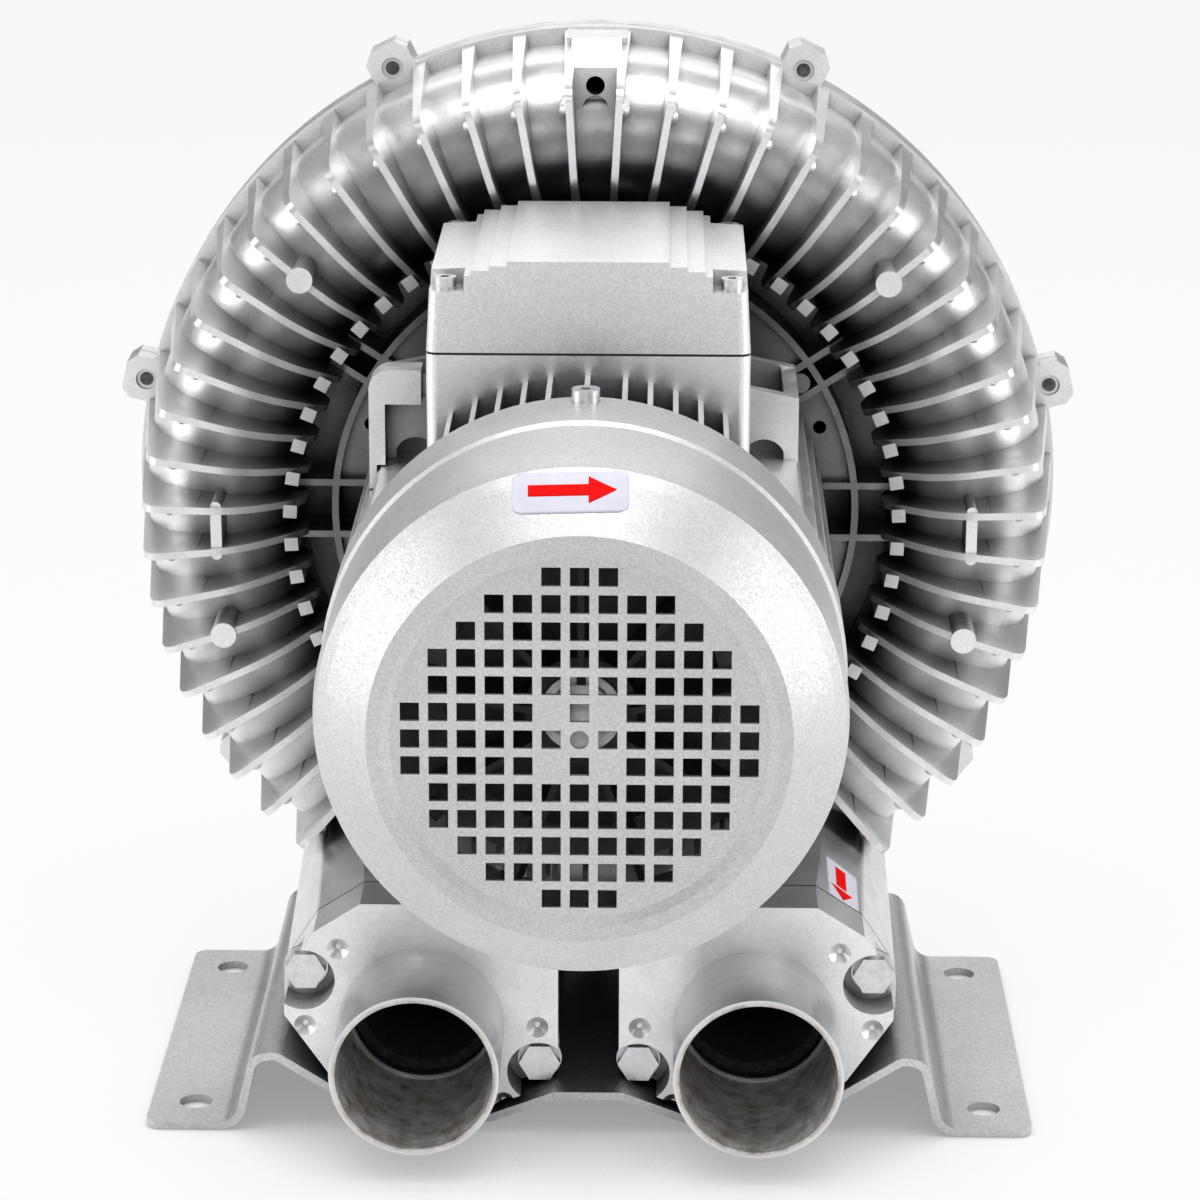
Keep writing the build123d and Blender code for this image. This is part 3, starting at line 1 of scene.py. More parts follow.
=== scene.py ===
# %% [markdown]
# # Dressing a side channel blower
# The imported model already has every solid piece in its place: the finned ring casing, the motor,
# the terminal box, the two pipes and the pressed bracket. This lesson gives each piece its
# finish, adds two stickers that are too thin for the solids, and sets up a plain studio. We start
# by loading the frame.

# %% Load the imported model
import json
import math
import bpy
from mathutils import Matrix, Vector
from mathutils.bvhtree import BVHTree


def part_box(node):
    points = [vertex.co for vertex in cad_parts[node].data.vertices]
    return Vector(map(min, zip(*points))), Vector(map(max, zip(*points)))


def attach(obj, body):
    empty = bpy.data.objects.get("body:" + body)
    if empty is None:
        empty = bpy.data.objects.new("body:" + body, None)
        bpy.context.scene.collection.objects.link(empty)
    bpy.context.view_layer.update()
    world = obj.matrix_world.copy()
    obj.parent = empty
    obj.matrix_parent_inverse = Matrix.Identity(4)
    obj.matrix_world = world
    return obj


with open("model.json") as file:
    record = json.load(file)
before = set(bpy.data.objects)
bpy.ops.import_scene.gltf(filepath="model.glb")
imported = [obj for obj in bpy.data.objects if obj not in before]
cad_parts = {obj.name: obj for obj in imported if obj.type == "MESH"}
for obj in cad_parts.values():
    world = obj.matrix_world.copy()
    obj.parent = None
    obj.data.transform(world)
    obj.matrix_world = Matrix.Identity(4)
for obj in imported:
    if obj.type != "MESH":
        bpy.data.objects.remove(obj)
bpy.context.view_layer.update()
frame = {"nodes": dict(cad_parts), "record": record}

NODES = frame["nodes"]
scene = bpy.context.scene
print("pieces in the frame:", len(NODES))

# %% [markdown]
# ## The camera
# The blower is seen from the fan end, a little above it, through a long lens, so distance hardly
# shrinks the ring behind the motor. A camera could be aimed with an empty and a Track To
# constraint, but three directions say it exactly and need no extra object: the way it looks, its
# right hand and its top. They become the columns of its matrix.

# %% Place the camera
EYE = Vector((0.0249, -1.4069, 0.6075))
LOOK = Vector((-0.0153, 0.9562, -0.2922)).normalized()
NEARLY_TOP = Vector((-0.0077, 0.2921, 0.9564))
RIGHT = LOOK.cross(NEARLY_TOP).normalized()
TOP = RIGHT.cross(LOOK)
LENS_MM = 118.96
SENSOR_MM = 36.0
IMAGE_PX = 1200.0

camera_data = bpy.data.cameras.new("studio_camera")
camera_data.lens = LENS_MM
camera_data.sensor_width = SENSOR_MM
camera = bpy.data.objects.new("studio_camera", camera_data)
scene.collection.objects.link(camera)
turned = Matrix((RIGHT, TOP, -LOOK)).transposed().to_4x4()
camera.matrix_world = Matrix.Translation(EYE) @ turned
scene.camera = camera
print("camera tilt in degrees:", round(math.degrees(math.asin(-LOOK.z)), 2))

# %% [markdown]
# ## The lamps
# A machine like this is shot on a white sweep under large soft lamps. The metal then mirrors
# broad pale shapes, and the gaps between the fins stay dark, deepened by shade that the finishes
# below paint into their colour. Five area lamps give the soft light, all aimed at the middle of
# the blower. Sunlight would be simpler, but it would draw hard shadows between the fins.

# %% Lamps
scene.view_settings.view_transform = "Standard"

LAMPS = {
    # name: (place, size across, size up, watts)
    "lamp_overhead": ((0.0, -0.25, 1.6), 1.0, 0.7, 12.0),
    "lamp_front": ((0.15, -2.1, 1.1), 1.2, 0.7, 4.5),
    "lamp_left": ((-1.45, -0.45, 0.65), 0.8, 1.2, 9.5),
    "lamp_right": ((1.45, -0.45, 0.65), 0.8, 1.2, 9.5),
    "lamp_behind": ((0.0, 1.5, 1.2), 1.4, 0.8, 5.0),
}
AIM = Vector((0.0, -0.05, 0.19))
for name, (place, across, up, watts) in LAMPS.items():
    lamp = bpy.data.lights.new(name, "AREA")
    lamp.shape = "RECTANGLE"
    lamp.size = across
    lamp.size_y = up
    lamp.energy = watts
    holder = bpy.data.objects.new(name, lamp)
    scene.collection.objects.link(holder)
    holder.location = place
    holder.rotation_euler = (AIM - Vector(place)).to_track_quat("-Z", "Y").to_euler()
print("lamps:", list(LAMPS))

# %% [markdown]
# ## A small kit for node trees
# The sky, the floor and every finish are built from nodes, and the same few moves come back each
# time: work out a number, spread it over a range, turn it into a colour, mix two colours or two
# shaders. Each move gets a function here, so the later cells can say what they make and not how
# the nodes are wired. Two sources go with them: a point's place, and how open it lies, which an
# ambient occlusion node finds by itself.

# %% Helpers for node trees
MM = 0.001
# A Mix node has several sockets of the same name, so the colour ones are picked by their place.
MIX_FIRST, MIX_SECOND, MIX_RESULT = 6, 7, 2


def feed(tree, value, socket):
    """Sets a socket to a plain number, or links it to another socket."""
    if isinstance(value, float):
        socket.default_value = value
    else:
        tree.links.new(value, socket)


def object_place(tree):
    """Where a point lies in object space."""
    return tree.nodes.new("ShaderNodeTexCoord").outputs["Object"]


def openness(tree, reach, samples):
    """How open a point lies: 1 where nothing stands closer than reach metres, down to 0."""
    near = tree.nodes.new("ShaderNodeAmbientOcclusion")
    near.samples = samples
    near.inputs["Distance"].default_value = reach
    return near.outputs["AO"]


def worked_out(tree, operation, *operands):
    """The result of one sum; each operand is a socket or a plain number."""
    sum_node = tree.nodes.new("ShaderNodeMath")
    sum_node.operation = operation
    for operand, socket in zip(operands, sum_node.inputs):
        feed(tree, operand, socket)
    return sum_node.outputs[0]


def spread(tree, source, low, high, start=0.3, end=0.7):
    """Turns a source that runs from start to end into a number between low and high."""
    span = tree.nodes.new("ShaderNodeMapRange")
    span.inputs["From Min"].default_value = start
    span.inputs["From Max"].default_value = end
    span.inputs["To Min"].default_value = low
    span.inputs["To Max"].default_value = high
    tree.links.new(source, span.inputs["Value"])
    return span.outputs["Result"]


def tint(tree, source, dark, light, start=0.3, end=0.7):
    """Turns a source that runs from start to end into a colour between dark and light."""
    ramp = tree.nodes.new("ShaderNodeValToRGB")
    ramp.color_ramp.elements[0].position = start
    ramp.color_ramp.elements[0].color = (*dark, 1.0)
    ramp.color_ramp.elements[1].position = end
    ramp.color_ramp.elements[1].color = (*light, 1.0)
    tree.links.new(source, ramp.inputs["Fac"])
    return ramp.outputs["Color"]


def blended(tree, first, second, amount, way="MIX"):
    """Two colours mixed by a 0 to 1 source or a plain number."""
    mix = tree.nodes.new("ShaderNodeMix")
    mix.data_type = "RGBA"
    mix.blend_type = way
    feed(tree, amount, mix.inputs["Factor"])
    tree.links.new(first, mix.inputs[MIX_FIRST])
    tree.links.new(second, mix.inputs[MIX_SECOND])
    return mix.outputs[MIX_RESULT]


def shaders_mixed(tree, first, second, amount):
    """Two shaders mixed by a 0 to 1 source: only the first at 0, only the second at 1."""
    mix = tree.nodes.new("ShaderNodeMixShader")
    tree.links.new(amount, mix.inputs["Fac"])
    tree.links.new(first, mix.inputs[1])
    tree.links.new(second, mix.inputs[2])
    return mix.outputs[0]


print("node helpers ready")

# %% [markdown]
# ## The sky
# A high dynamic range picture could surround the blower, but it would be a file, so a sky that
# grows from grey below to near white above does the work. It is pure white only for the camera:
# the background is then white, and throws no more light on the metal.

# %% Sky
SKY_STRENGTH = 0.36
SKY_BELOW = (0.30, 0.30, 0.31)
SKY_ABOVE = (0.95, 0.96, 0.98)
SKY_CHANGE = (0.40, 0.85)  # heights, 0 straight down and 1 straight up
WHITE = (1.0, 1.0, 1.0)

sky = bpy.data.worlds.new("studio_sky")
scene.world = sky
sky.use_nodes = True
sky_tree = sky.node_tree
sky_tree.nodes.clear()
sky_place = sky_tree.nodes.new("ShaderNodeTexCoord")
sky_split = sky_tree.nodes.new("ShaderNodeSeparateXYZ")
sky_tree.links.new(sky_place.outputs["Generated"], sky_split.inputs[0])
sky_height = worked_out(sky_tree, "MULTIPLY_ADD", sky_split.outputs["Z"], 0.5, 0.5)
sky_colour = tint(sky_tree, sky_height, SKY_BELOW, SKY_ABOVE, *SKY_CHANGE)
sky_graded = sky_tree.nodes.new("ShaderNodeBackground")
sky_graded.inputs["Strength"].default_value = SKY_STRENGTH
sky_tree.links.new(sky_colour, sky_graded.inputs["Color"])
sky_white = sky_tree.nodes.new("ShaderNodeBackground")
sky_white.inputs["Color"].default_value = (*WHITE, 1.0)
sky_ray = sky_tree.nodes.new("ShaderNodeLightPath")
sky_mixed = shaders_mixed(sky_tree, sky_graded.outputs[0], sky_white.outputs[0],
                          sky_ray.outputs["Is Camera Ray"])
sky_out = sky_tree.nodes.new("ShaderNodeOutputWorld")
sky_tree.links.new(sky_mixed, sky_out.inputs["Surface"])
print("sky nodes:", len(sky_tree.nodes))

# %% [markdown]
# ## The floor
# The floor has to be white and still hold a soft shadow, or the blower would seem to float. A
# plain white diffuse floor comes out grey under lamps that suit metal. So the floor mixes its
# diffuse colour with its own light, for the camera, for mirror rays and for rays through glass
# only: the metal then mirrors a white floor, but is not lit from below. Where the blower stands
# close, that light is dimmed, which keeps the contact shadow. The sheet lies a hair under the
# feet, so the two never flicker through each other.

# %% Floor
FLOOR_SIZE = 14.0
FLOOR_DROP = 0.0004
FLOOR_COLOUR = (0.86, 0.86, 0.86)
FLOOR_GLOW = 0.90
SHADOW_REACH = 0.07
SHADOW_SAMPLES = 4
SHADOW_COLOUR = (0.34, 0.34, 0.345)
SHADOW_CHANGE = (0.15, 0.80)  # openness where the shadow is deepest, and where it ends

half = FLOOR_SIZE / 2
corners = [(-half, -half, 0), (half, -half, 0), (half, half, 0), (-half, half, 0)]
floor_mesh = bpy.data.meshes.new("studio_floor")
floor_mesh.from_pydata(corners, [], [(0, 1, 2, 3)])
floor = bpy.data.objects.new("studio_floor", floor_mesh)
scene.collection.objects.link(floor)
floor.location.z = -FLOOR_DROP

floor_paint = bpy.data.materials.new("studio_floor_paint")
floor_paint.use_nodes = True
floor_tree = floor_paint.node_tree
floor_tree.nodes.clear()
floor_diffuse = floor_tree.nodes.new("ShaderNodeBsdfDiffuse")
floor_diffuse.inputs["Color"].default_value = (*FLOOR_COLOUR, 1.0)
floor_open = openness(floor_tree, SHADOW_REACH, SHADOW_SAMPLES)
floor_light = tint(floor_tree, floor_open, SHADOW_COLOUR, WHITE, *SHADOW_CHANGE)
floor_glow = floor_tree.nodes.new("ShaderNodeEmission")
floor_tree.links.new(floor_light, floor_glow.inputs["Color"])
floor_ray = floor_tree.nodes.new("ShaderNodeLightPath")
glowing = floor_ray.outputs["Is Camera Ray"]
for kind in ("Is Glossy Ray", "Is Transmission Ray"):
    glowing = worked_out(floor_tree, "MAXIMUM", glowing, floor_ray.outputs[kind])
glowing = worked_out(floor_tree, "MULTIPLY", glowing, FLOOR_GLOW)
floor_mixed = shaders_mixed(floor_tree, floor_diffuse.outputs[0], floor_glow.outputs[0], glowing)
floor_out = floor_tree.nodes.new("ShaderNodeOutputMaterial")
floor_tree.links.new(floor_mixed, floor_out.inputs["Surface"])
floor_mesh.materials.append(floor_paint)
print("floor side in metres:", FLOOR_SIZE)

# %% [markdown]
# ## A small kit for finishes
# Every finish here is a Principled shader driven by noise in object space. The meshes have no
# texture coordinates, and object space needs none. It also tells how far a point lies from an
# axis. Shade is painted into the colour of the gaps: where other metal stands close, an ambient
# occlusion node darkens the colour, as painted shade at the bottom of a narrow gap.

# %% Helpers for finishes
EVEN = (1.0, 1.0, 1.0)
GAP_SAMPLES = 2


def start_finish(name, metallic=1.0):
    """A new material with a bare Principled shader: returns it, its tree and the shader."""
    finish = bpy.data.materials.new(name)
    finish.use_nodes = True
    tree = finish.node_tree
    shader = tree.nodes["Principled BSDF"]
    shader.inputs["Metallic"].default_value = metallic
    return finish, tree, shader


def noise(tree, size_mm, detail=3.0, stretch=EVEN, rough=0.55):
    """Noise with blotches about size_mm across, stretched along X, Y and Z by three factors."""
    scale = tree.nodes.new("ShaderNodeMapping")
    scale.inputs["Scale"].default_value = [1.0 / (size_mm * MM * factor) for factor in stretch]
    cloud = tree.nodes.new("ShaderNodeTexNoise")
    cloud.inputs["Scale"].default_value = 1.0
    cloud.inputs["Detail"].default_value = detail
    cloud.inputs["Roughness"].default_value = rough
    tree.links.new(object_place(tree), scale.inputs["Vector"])
    tree.links.new(scale.outputs["Vector"], cloud.inputs["Vector"])
    return cloud.outputs["Fac"]


def relief(tree, shader, source, height_mm, strength, under=None):
    """Raises the surface by up to height_mm where the source is bright, on top of under."""
    bump = tree.nodes.new("ShaderNodeBump")
    bump.inputs["Distance"].default_value = height_mm * MM
    bump.inputs["Strength"].default_value = strength
    tree.links.new(source, bump.inputs["Height"])
    if under is not None:
        tree.links.new(under, bump.inputs["Normal"])
    tree.links.new(bump.outputs["Normal"], shader.inputs["Normal"])
    return bump.outputs["Normal"]


def axis_distance(tree, place, centre_x, centre_z):
    """How far a place lies, in metres, from the line along Y through centre_x and centre_z."""
    shift = tree.nodes.new("ShaderNodeVectorMath")
    shift.operation = "SUBTRACT"
    shift.inputs[1].default_value = (centre_x, 0.0, centre_z)
    flat = tree.nodes.new("ShaderNodeVectorMath")
    flat.operation = "MULTIPLY"
    flat.inputs[1].default_value = (1.0, 0.0, 1.0)
    reach = tree.nodes.new("ShaderNodeVectorMath")
    reach.operation = "LENGTH"
    tree.links.new(place, shift.inputs[0])
    tree.links.new(shift.outputs[0], flat.inputs[0])
    tree.links.new(flat.outputs[0], reach.inputs[0])
    return reach.outputs["Value"]


def painted_gap_shade(tree, colour, reach_mm, darkest, closed, open_from):
    """The same colour with painted shade: darkened where other metal stands closer than reach_mm.
    Where the openness is closed or less, the darkest share is left, and from open_from on the
    colour stays."""
    gap = openness(tree, reach_mm * MM, GAP_SAMPLES)
    share = spread(tree, gap, darkest, 1.0, closed, open_from)
    return blended(tree, colour, share, 1.0, "MULTIPLY")


print("finish helpers ready")

# %% [markdown]
# ## Cast aluminium
# The ring casing, the port flanges and the motor frame are die castings with a thin silver coat.
# Up close they have a fine orange-peel skin, and broad patches where the coat is a shade duller.
# Noise in four sizes gives that: broad patches for colour, a middle size for roughness, and two
# fine ones for relief, the finest of which also specks the colour. The hub behind the motor lies
# in shade, so the ring casing gets a version of its own with painted shade that darkens towards
# the axis.

# %% Cast aluminium finish
AXIS_HEIGHT = 0.206
HUB_SHADE_DARKEST = 0.30
HUB_SHADE_SPAN = (0.100, 0.126)  # metres from the axis where the painted shade is deepest, and where it ends


def cast_aluminium(name, shaded_at_hub=False):
    finish, tree, shader = start_finish(name, metallic=0.91)
    patches = noise(tree, 34.0, detail=4.0)
    grain = noise(tree, 1.1, detail=2.0)
    shade = tint(tree, patches, (0.86, 0.865, 0.875), (0.97, 0.97, 0.975), start=0.25)
    speck = tint(tree, grain, (0.80, 0.80, 0.80), WHITE, end=0.62)
    coat = blended(tree, shade, speck, 0.45, "MULTIPLY")
    # Painted shade: darker towards the hub, which lies behind the motor.
    if shaded_at_hub:
        from_axis = axis_distance(tree, object_place(tree), 0.0, AXIS_HEIGHT)
        share = spread(tree, from_axis, HUB_SHADE_DARKEST, 1.0, *HUB_SHADE_SPAN)
        coat = blended(tree, coat, share, 1.0, "MULTIPLY")
    # Painted shade: darker in the narrow gaps between the fins, and near black in deep slots.
    coat = painted_gap_shade(tree, coat, reach_mm=11.0, darkest=0.34, closed=0.10, open_from=0.52)
    coat = painted_gap_shade(tree, coat, reach_mm=70.0, darkest=0.02, closed=0.05, open_from=0.22)
    tree.links.new(coat, shader.inputs["Base Color"])
    dull = noise(tree, 9.0, detail=4.0)
    tree.links.new(spread(tree, dull, 0.30, 0.44), shader.inputs["Roughness"])
    skin = relief(tree, shader, noise(tree, 2.6), height_mm=0.10, strength=0.55)
    relief(tree, shader, grain, height_mm=0.05, strength=0.55, under=skin)
    return finish


CAST = cast_aluminium("cast_aluminium")
RING_CAST = cast_aluminium("cast_aluminium_ring", shaded_at_hub=True)
print("made", CAST.name, "and", RING_CAST.name)

# %% [markdown]
# ## Sparkling silver paint
# The fan cowl, the lid of the terminal box and the bracket wear a silver paint with visible
# flakes. Flakes are tiny mirrors that lie at random angles. A Voronoi pattern gives each cell
# random numbers of its own: one sets how bright the flake is, one how rough and one how high it
# lies. A thin clear coat lies over them. Shade is painted into the colour where other parts
# stand close, and the lid gets a lighter copy of the same paint: painted light, since the lid
# gets little of the lamps' light.

# %% Silver paint finish
CLEAR_COAT = 0.15
CLEAR_COAT_ROUGHNESS = 0.25


def silver_paint(name, dark, light, flake_mm, roughness):
    finish, tree, shader = start_finish(name, metallic=0.88)
    cells = tree.nodes.new("ShaderNodeTexVoronoi")
    cells.inputs["Scale"].default_value = 1.0 / (flake_mm * MM)
    tree.links.new(object_place(tree), cells.inputs["Vector"])
    flake = tree.nodes.new("ShaderNodeSeparateColor")
    tree.links.new(cells.outputs["Color"], flake.inputs["Color"])
    ground = tint(tree, noise(tree, 60.0), dark, light)
    sparkle = tint(tree, flake.outputs["Red"], (0.72, 0.72, 0.73), WHITE, 0.1, 1.0)
    coat = blended(tree, ground, sparkle, 0.6, "MULTIPLY")
    # Painted shade: darker where other parts stand close.
    coat = painted_gap_shade(tree, coat, reach_mm=60.0, darkest=0.08, closed=0.10, open_from=0.50)
    tree.links.new(coat, shader.inputs["Base Color"])
    dull = spread(tree, flake.outputs["Green"], roughness - 0.10, roughness + 0.08, 0.0, 1.0)
    tree.links.new(dull, shader.inputs["Roughness"])
    skin = relief(tree, shader, noise(tree, 1.6, detail=2.0), height_mm=0.06, strength=0.5)
    relief(tree, shader, flake.outputs["Blue"], height_mm=0.05, strength=0.5, under=skin)
    shader.inputs["Coat Weight"].default_value = CLEAR_COAT
    shader.inputs["Coat Roughness"].default_value = CLEAR_COAT_ROUGHNESS
    return finish


COWL_PAINT = silver_paint("cowl_silver_paint", (0.71, 0.715, 0.72), (0.79, 0.795, 0.80),
                          flake_mm=0.55, roughness=0.52)
# Painted light: the lid's copy of the paint is lighter, to make up for the little lamp light on
# it.
LID_PAINT_LIGHTENED = silver_paint("lid_silver_paint_lightened", (0.90, 0.905, 0.91), (0.97, 0.97, 0.975),
                         flake_mm=0.55, roughness=0.46)
BRACKET_PAINT = silver_paint("bracket_silver_paint", (0.70, 0.705, 0.71), (0.80, 0.805, 0.81),
                             flake_mm=0.8, roughness=0.44)
print("made", COWL_PAINT.name, LID_PAINT_LIGHTENED.name, "and", BRACKET_PAINT.name)

# %% [markdown]
# ## Bare steel tube
# The pipes are lengths of bare tube. The outside shows fine turning lines round the tube. The
# bore is darker and faintly brown, where the steel has been warm and damp, and ends in a cut
# edge with a painted highlight, where the edge catches the light. One material does it all: the
# distance of a point from the tube's own axis tells the bore from the outside, and its place
# along the tube tells where the painted highlight on the cut edge is.

# %% Bare tube finish
WALL_MM = (1.9, 0.6)  # depths under the outside: the bore's look ends, the outside's starts
EDGE_HIGHLIGHT_MM = (2.0, 1.4)  # distances from the far end: the painted highlight on the cut edge starts, and is full


def bare_tube(name, node):
    low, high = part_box(node)
    centre_x = (low[0] + high[0]) / 2
    centre_z = (low[2] + high[2]) / 2
    radius = (high[0] - low[0]) / 2
    finish, tree, shader = start_finish(name)
    place = object_place(tree)
    from_axis = axis_distance(tree, place, centre_x, centre_z)
    wall = [radius - depth * MM for depth in WALL_MM]
    outside = spread(tree, from_axis, 0.0, 1.0, *wall)
    lines = noise(tree, 3.0, stretch=(9.0, 0.12, 9.0))
    stains = noise(tree, 7.0, detail=6.0, rough=0.7)
    split = tree.nodes.new("ShaderNodeSeparateXYZ")
    tree.links.new(place, split.inputs[0])
    # Painted highlight: a near white band along the cut edge at the far end.
    edge_y = [high[1] - gap * MM for gap in EDGE_HIGHLIGHT_MM]
    at_edge_highlight = spread(tree, split.outputs["Y"], 0.0, 1.0, *edge_y)
    bore = tint(tree, stains, (0.30, 0.26, 0.225), (0.78, 0.765, 0.75), 0.34, 0.62)
    cut_edge_highlight = tint(tree, stains, (0.92, 0.92, 0.92), WHITE)
    bore = blended(tree, bore, cut_edge_highlight, at_edge_highlight)
    bright = tint(tree, lines, (0.62, 0.62, 0.625), (0.84, 0.84, 0.85), 0.25, 0.75)
    tree.links.new(blended(tree, bore, bright, outside), shader.inputs["Base Color"])
    tree.links.new(spread(tree, stains, 0.26, 0.42), shader.inputs["Roughness"])
    tree.links.new(spread(tree, outside, 0.35, 1.0, 0.0, 1.0), shader.inputs["Metallic"])
    relief(tree, shader, lines, height_mm=0.03, strength=0.5)
    return finish


INLET_TUBE = bare_tube("bare_tube_inlet", "inlet_pipe")
OUTLET_TUBE = bare_tube("bare_tube_outlet", "outlet_pipe")
print("made", INLET_TUBE.name, "and", OUTLET_TUBE.name)

# %% [markdown]
# ## Fasteners and machined metal
# Zinc-plated screws are bright with a faint blue cast and small smudges. Ground steel, such as
# the shaft and the bearing rings, is darker and has fine lines round it. The balls are almost
# mirrors. The rim screws are oiled black, so their ends show dark in the lugs. The copper, the
# brass and the sheet packs inside the motor differ from them in a few numbers only, so one
# function makes them all.

# %% Steel, copper and brass finishes
METALS = {
    # slot: (dark, light, roughness, size of the marks in mm, their stretch)
    "zinc_screw": ((0.58, 0.59, 0.60), (0.80, 0.81, 0.83), 0.28, 2.5, EVEN),
    "machined_steel": ((0.42, 0.425, 0.44), (0.60, 0.605, 0.62), 0.24, 2.0, (6.0, 0.2, 6.0)),
    "polished_ball": ((0.74, 0.74, 0.76), (0.86, 0.86, 0.88), 0.10, 3.0, EVEN),
    "electrical_steel": ((0.16, 0.165, 0.18), (0.34, 0.345, 0.36), 0.45, 1.0, (40.0, 0.5, 40.0)),
    "copper_winding": ((0.28, 0.11, 0.05), (0.66, 0.31, 0.16), 0.35, 1.6, (12.0, 0.8, 12.0)),
    "brass_stud": ((0.56, 0.40, 0.17), (0.78, 0.60, 0.30), 0.3, 2.0, EVEN),
    "dark_screw": ((0.05, 0.05, 0.052), (0.16, 0.16, 0.165), 0.4, 2.5, EVEN),
}


def plain_metal(name, dark, light, roughness, mark_mm, stretch):
    finish, tree, shader = start_finish(name)
    marks = noise(tree, mark_mm, 4.0, stretch)
    tree.links.new(tint(tree, marks, dark, light), shader.inputs["Base Color"])
    dull = spread(tree, marks, roughness - 0.06, roughness + 0.1)
    tree.links.new(dull, shader.inputs["Roughness"])
    relief(tree, shader, marks, height_mm=0.01, strength=0.15)
    return finish


FINISHES = {name: plain_metal(name, *numbers) for name, numbers in METALS.items()}
print("metal finishes:", list(METALS))

# %% [markdown]
# ## Rubber, foam and plastic
# The fan is black moulded plastic and shows dark behind the grille. Gaskets are matt rubber, and
# the foam that lines the ducts is almost black and full of pores. None is metal, so colour stays
# low and the surface is broken up by relief instead.

# %% Soft and moulded finishes
MOULDED = {
    # slot: (dark, light, roughness, size of the pores in mm, their depth in mm)
    "black_rubber": ((0.012, 0.012, 0.012), (0.03, 0.03, 0.03), 0.7, 1.5, 0.05),
    "grey_foam": ((0.010, 0.009, 0.008), (0.06, 0.055, 0.05), 0.9, 1.8, 0.6),
    "fan_plastic": ((0.020, 0.020, 0.022), (0.045, 0.045, 0.05), 0.45, 4.0, 0.05),
    "board_plastic": ((0.07, 0.035, 0.022), (0.13, 0.07, 0.045), 0.5, 5.0, 0.04),
    "cage_plastic": ((0.25, 0.21, 0.14), (0.38, 0.32, 0.22), 0.5, 3.0, 0.04),
}


def moulded(name, dark, light, roughness, pore_mm, pore_depth_mm):
    finish, tree, shader = start_finish(name, metallic=0.0)
    pores = noise(tree, pore_mm, 4.0)
    tree.links.new(tint(tree, pores, dark, light), shader.inputs["Base Color"])
    dull = spread(tree, pores, roughness - 0.1, roughness + 0.08)
    tree.links.new(dull, shader.inputs["Roughness"])
    relief(tree, shader, pores, pore_depth_mm, strength=0.6)
    return finish


for name, numbers in MOULDED.items():
    FINISHES[name] = moulded(name, *numbers)
print("moulded finishes:", list(MOULDED))

# %% [markdown]
# ## Hand each piece its finish
# The imported record already says which slot each piece takes its finish from. We look the slot up
# and swap in our own material. A few pieces are exceptions: each pipe needs its own axis, the
# ring casing has painted shade at the hub, the rim screws are the dark ones, and the lid has the
# lighter copy of the paint, which is painted light.

# %% Dress the imported pieces
FINISHES.update({
    "cast_aluminium": CAST, "painted_cowl": COWL_PAINT, "bracket_sheet": BRACKET_PAINT,
    "bare_pipe": OUTLET_TUBE,
})
EXCEPTIONS = {
    "inlet_pipe": INLET_TUBE, "blower_housing": RING_CAST, "terminal_box_lid": LID_PAINT_LIGHTENED,
    "cover_screws": FINISHES["dark_screw"],
}
for entry in frame["record"]["subparts"]:
    worn = NODES[entry["node"]].data.materials
    worn.clear()
    worn.append(EXCEPTIONS.get(entry["node"], FINISHES[entry["material_slot"]]))

# %% [markdown]
# ## Soft edges
# No casting or pressing has a knife edge, and a rounded edge is what catches the light along a
# rim. The solids keep most edges sharp to stay light, so a narrow bevel goes on here as a
# modifier. It only acts on edges that turn by more than a set angle, and the normals are then
# weighted so flats stay flat.

# %% Bevel the edges that show
EDGE_MM = {
    "terminal_box_lid": 1.1, "motor_frame": 0.4, "base_bracket": 0.5, "inlet_flange": 0.8,
    "outlet_flange": 0.8, "blower_housing": 0.5, "housing_cover": 0.5, "port_bolts": 0.35,
    "port_washers": 0.2, "inlet_pipe": 0.3, "outlet_pipe": 0.3, "lid_screws": 0.25,
    "cover_screws": 0.25, "cowl_screws": 0.3, "fan_cowl": 0.25, "cooling_fan": 0.3,
    "fan_end_shield": 0.4, "side_elbow": 0.5, "bracket_screws": 0.3, "drive_end_shield": 0.4,
}
EDGE_ANGLE = math.radians(32.0)
EDGE_STEPS = 2
for node, width in EDGE_MM.items():
    modifiers = NODES[node].modifiers
    soft = modifiers.new("soft_edges", "BEVEL")
    soft.width = width * MM
    soft.segments = EDGE_STEPS
    soft.limit_method = "ANGLE"
    soft.angle_limit = EDGE_ANGLE
    soft.harden_normals = False
    weigh = modifiers.new("even_normals", "WEIGHTED_NORMAL")
    weigh.keep_sharp = False
print("pieces with soft edges:", len(EDGE_MM))

# %% [markdown]
# ## A way to lay stickers
# Two pale stickers with a red arrow show which way the fan turns and which way the air leaves.
# They are real sheets that lie on the curved metal. A flat card would cut through the cowl, so we
# lay a grid of points over it: each point is shot from the camera until it meets the metal, then
# lifted by a fraction of a millimetre. Corners are given in pixels of the 1200 by 1200 render.

# %% Lay a grid on the metal
FILM_MM = 0.10
CARD_LIFT_MM = 0.16
ARROW_LIFT_MM = 0.22
POINT_TAPER = 0.97  # of the height is gone at an arrow's point, which keeps a real edge there


def metal_of(node):
    """A ray-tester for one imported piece."""
    mesh = NODES[node].data
    points = [vertex.co.copy() for vertex in mesh.vertices]
    return BVHTree.FromPolygons(points, [tuple(face.vertices) for face in mesh.polygons])


def pixel_ray(px, py):
    """Direction from the camera through a pixel of the render."""
    half_px = IMAGE_PX / 2
    span = SENSOR_MM / LENS_MM / IMAGE_PX
    return (LOOK + RIGHT * (px - half_px) * span - TOP * (py - half_px) * span).normalized()


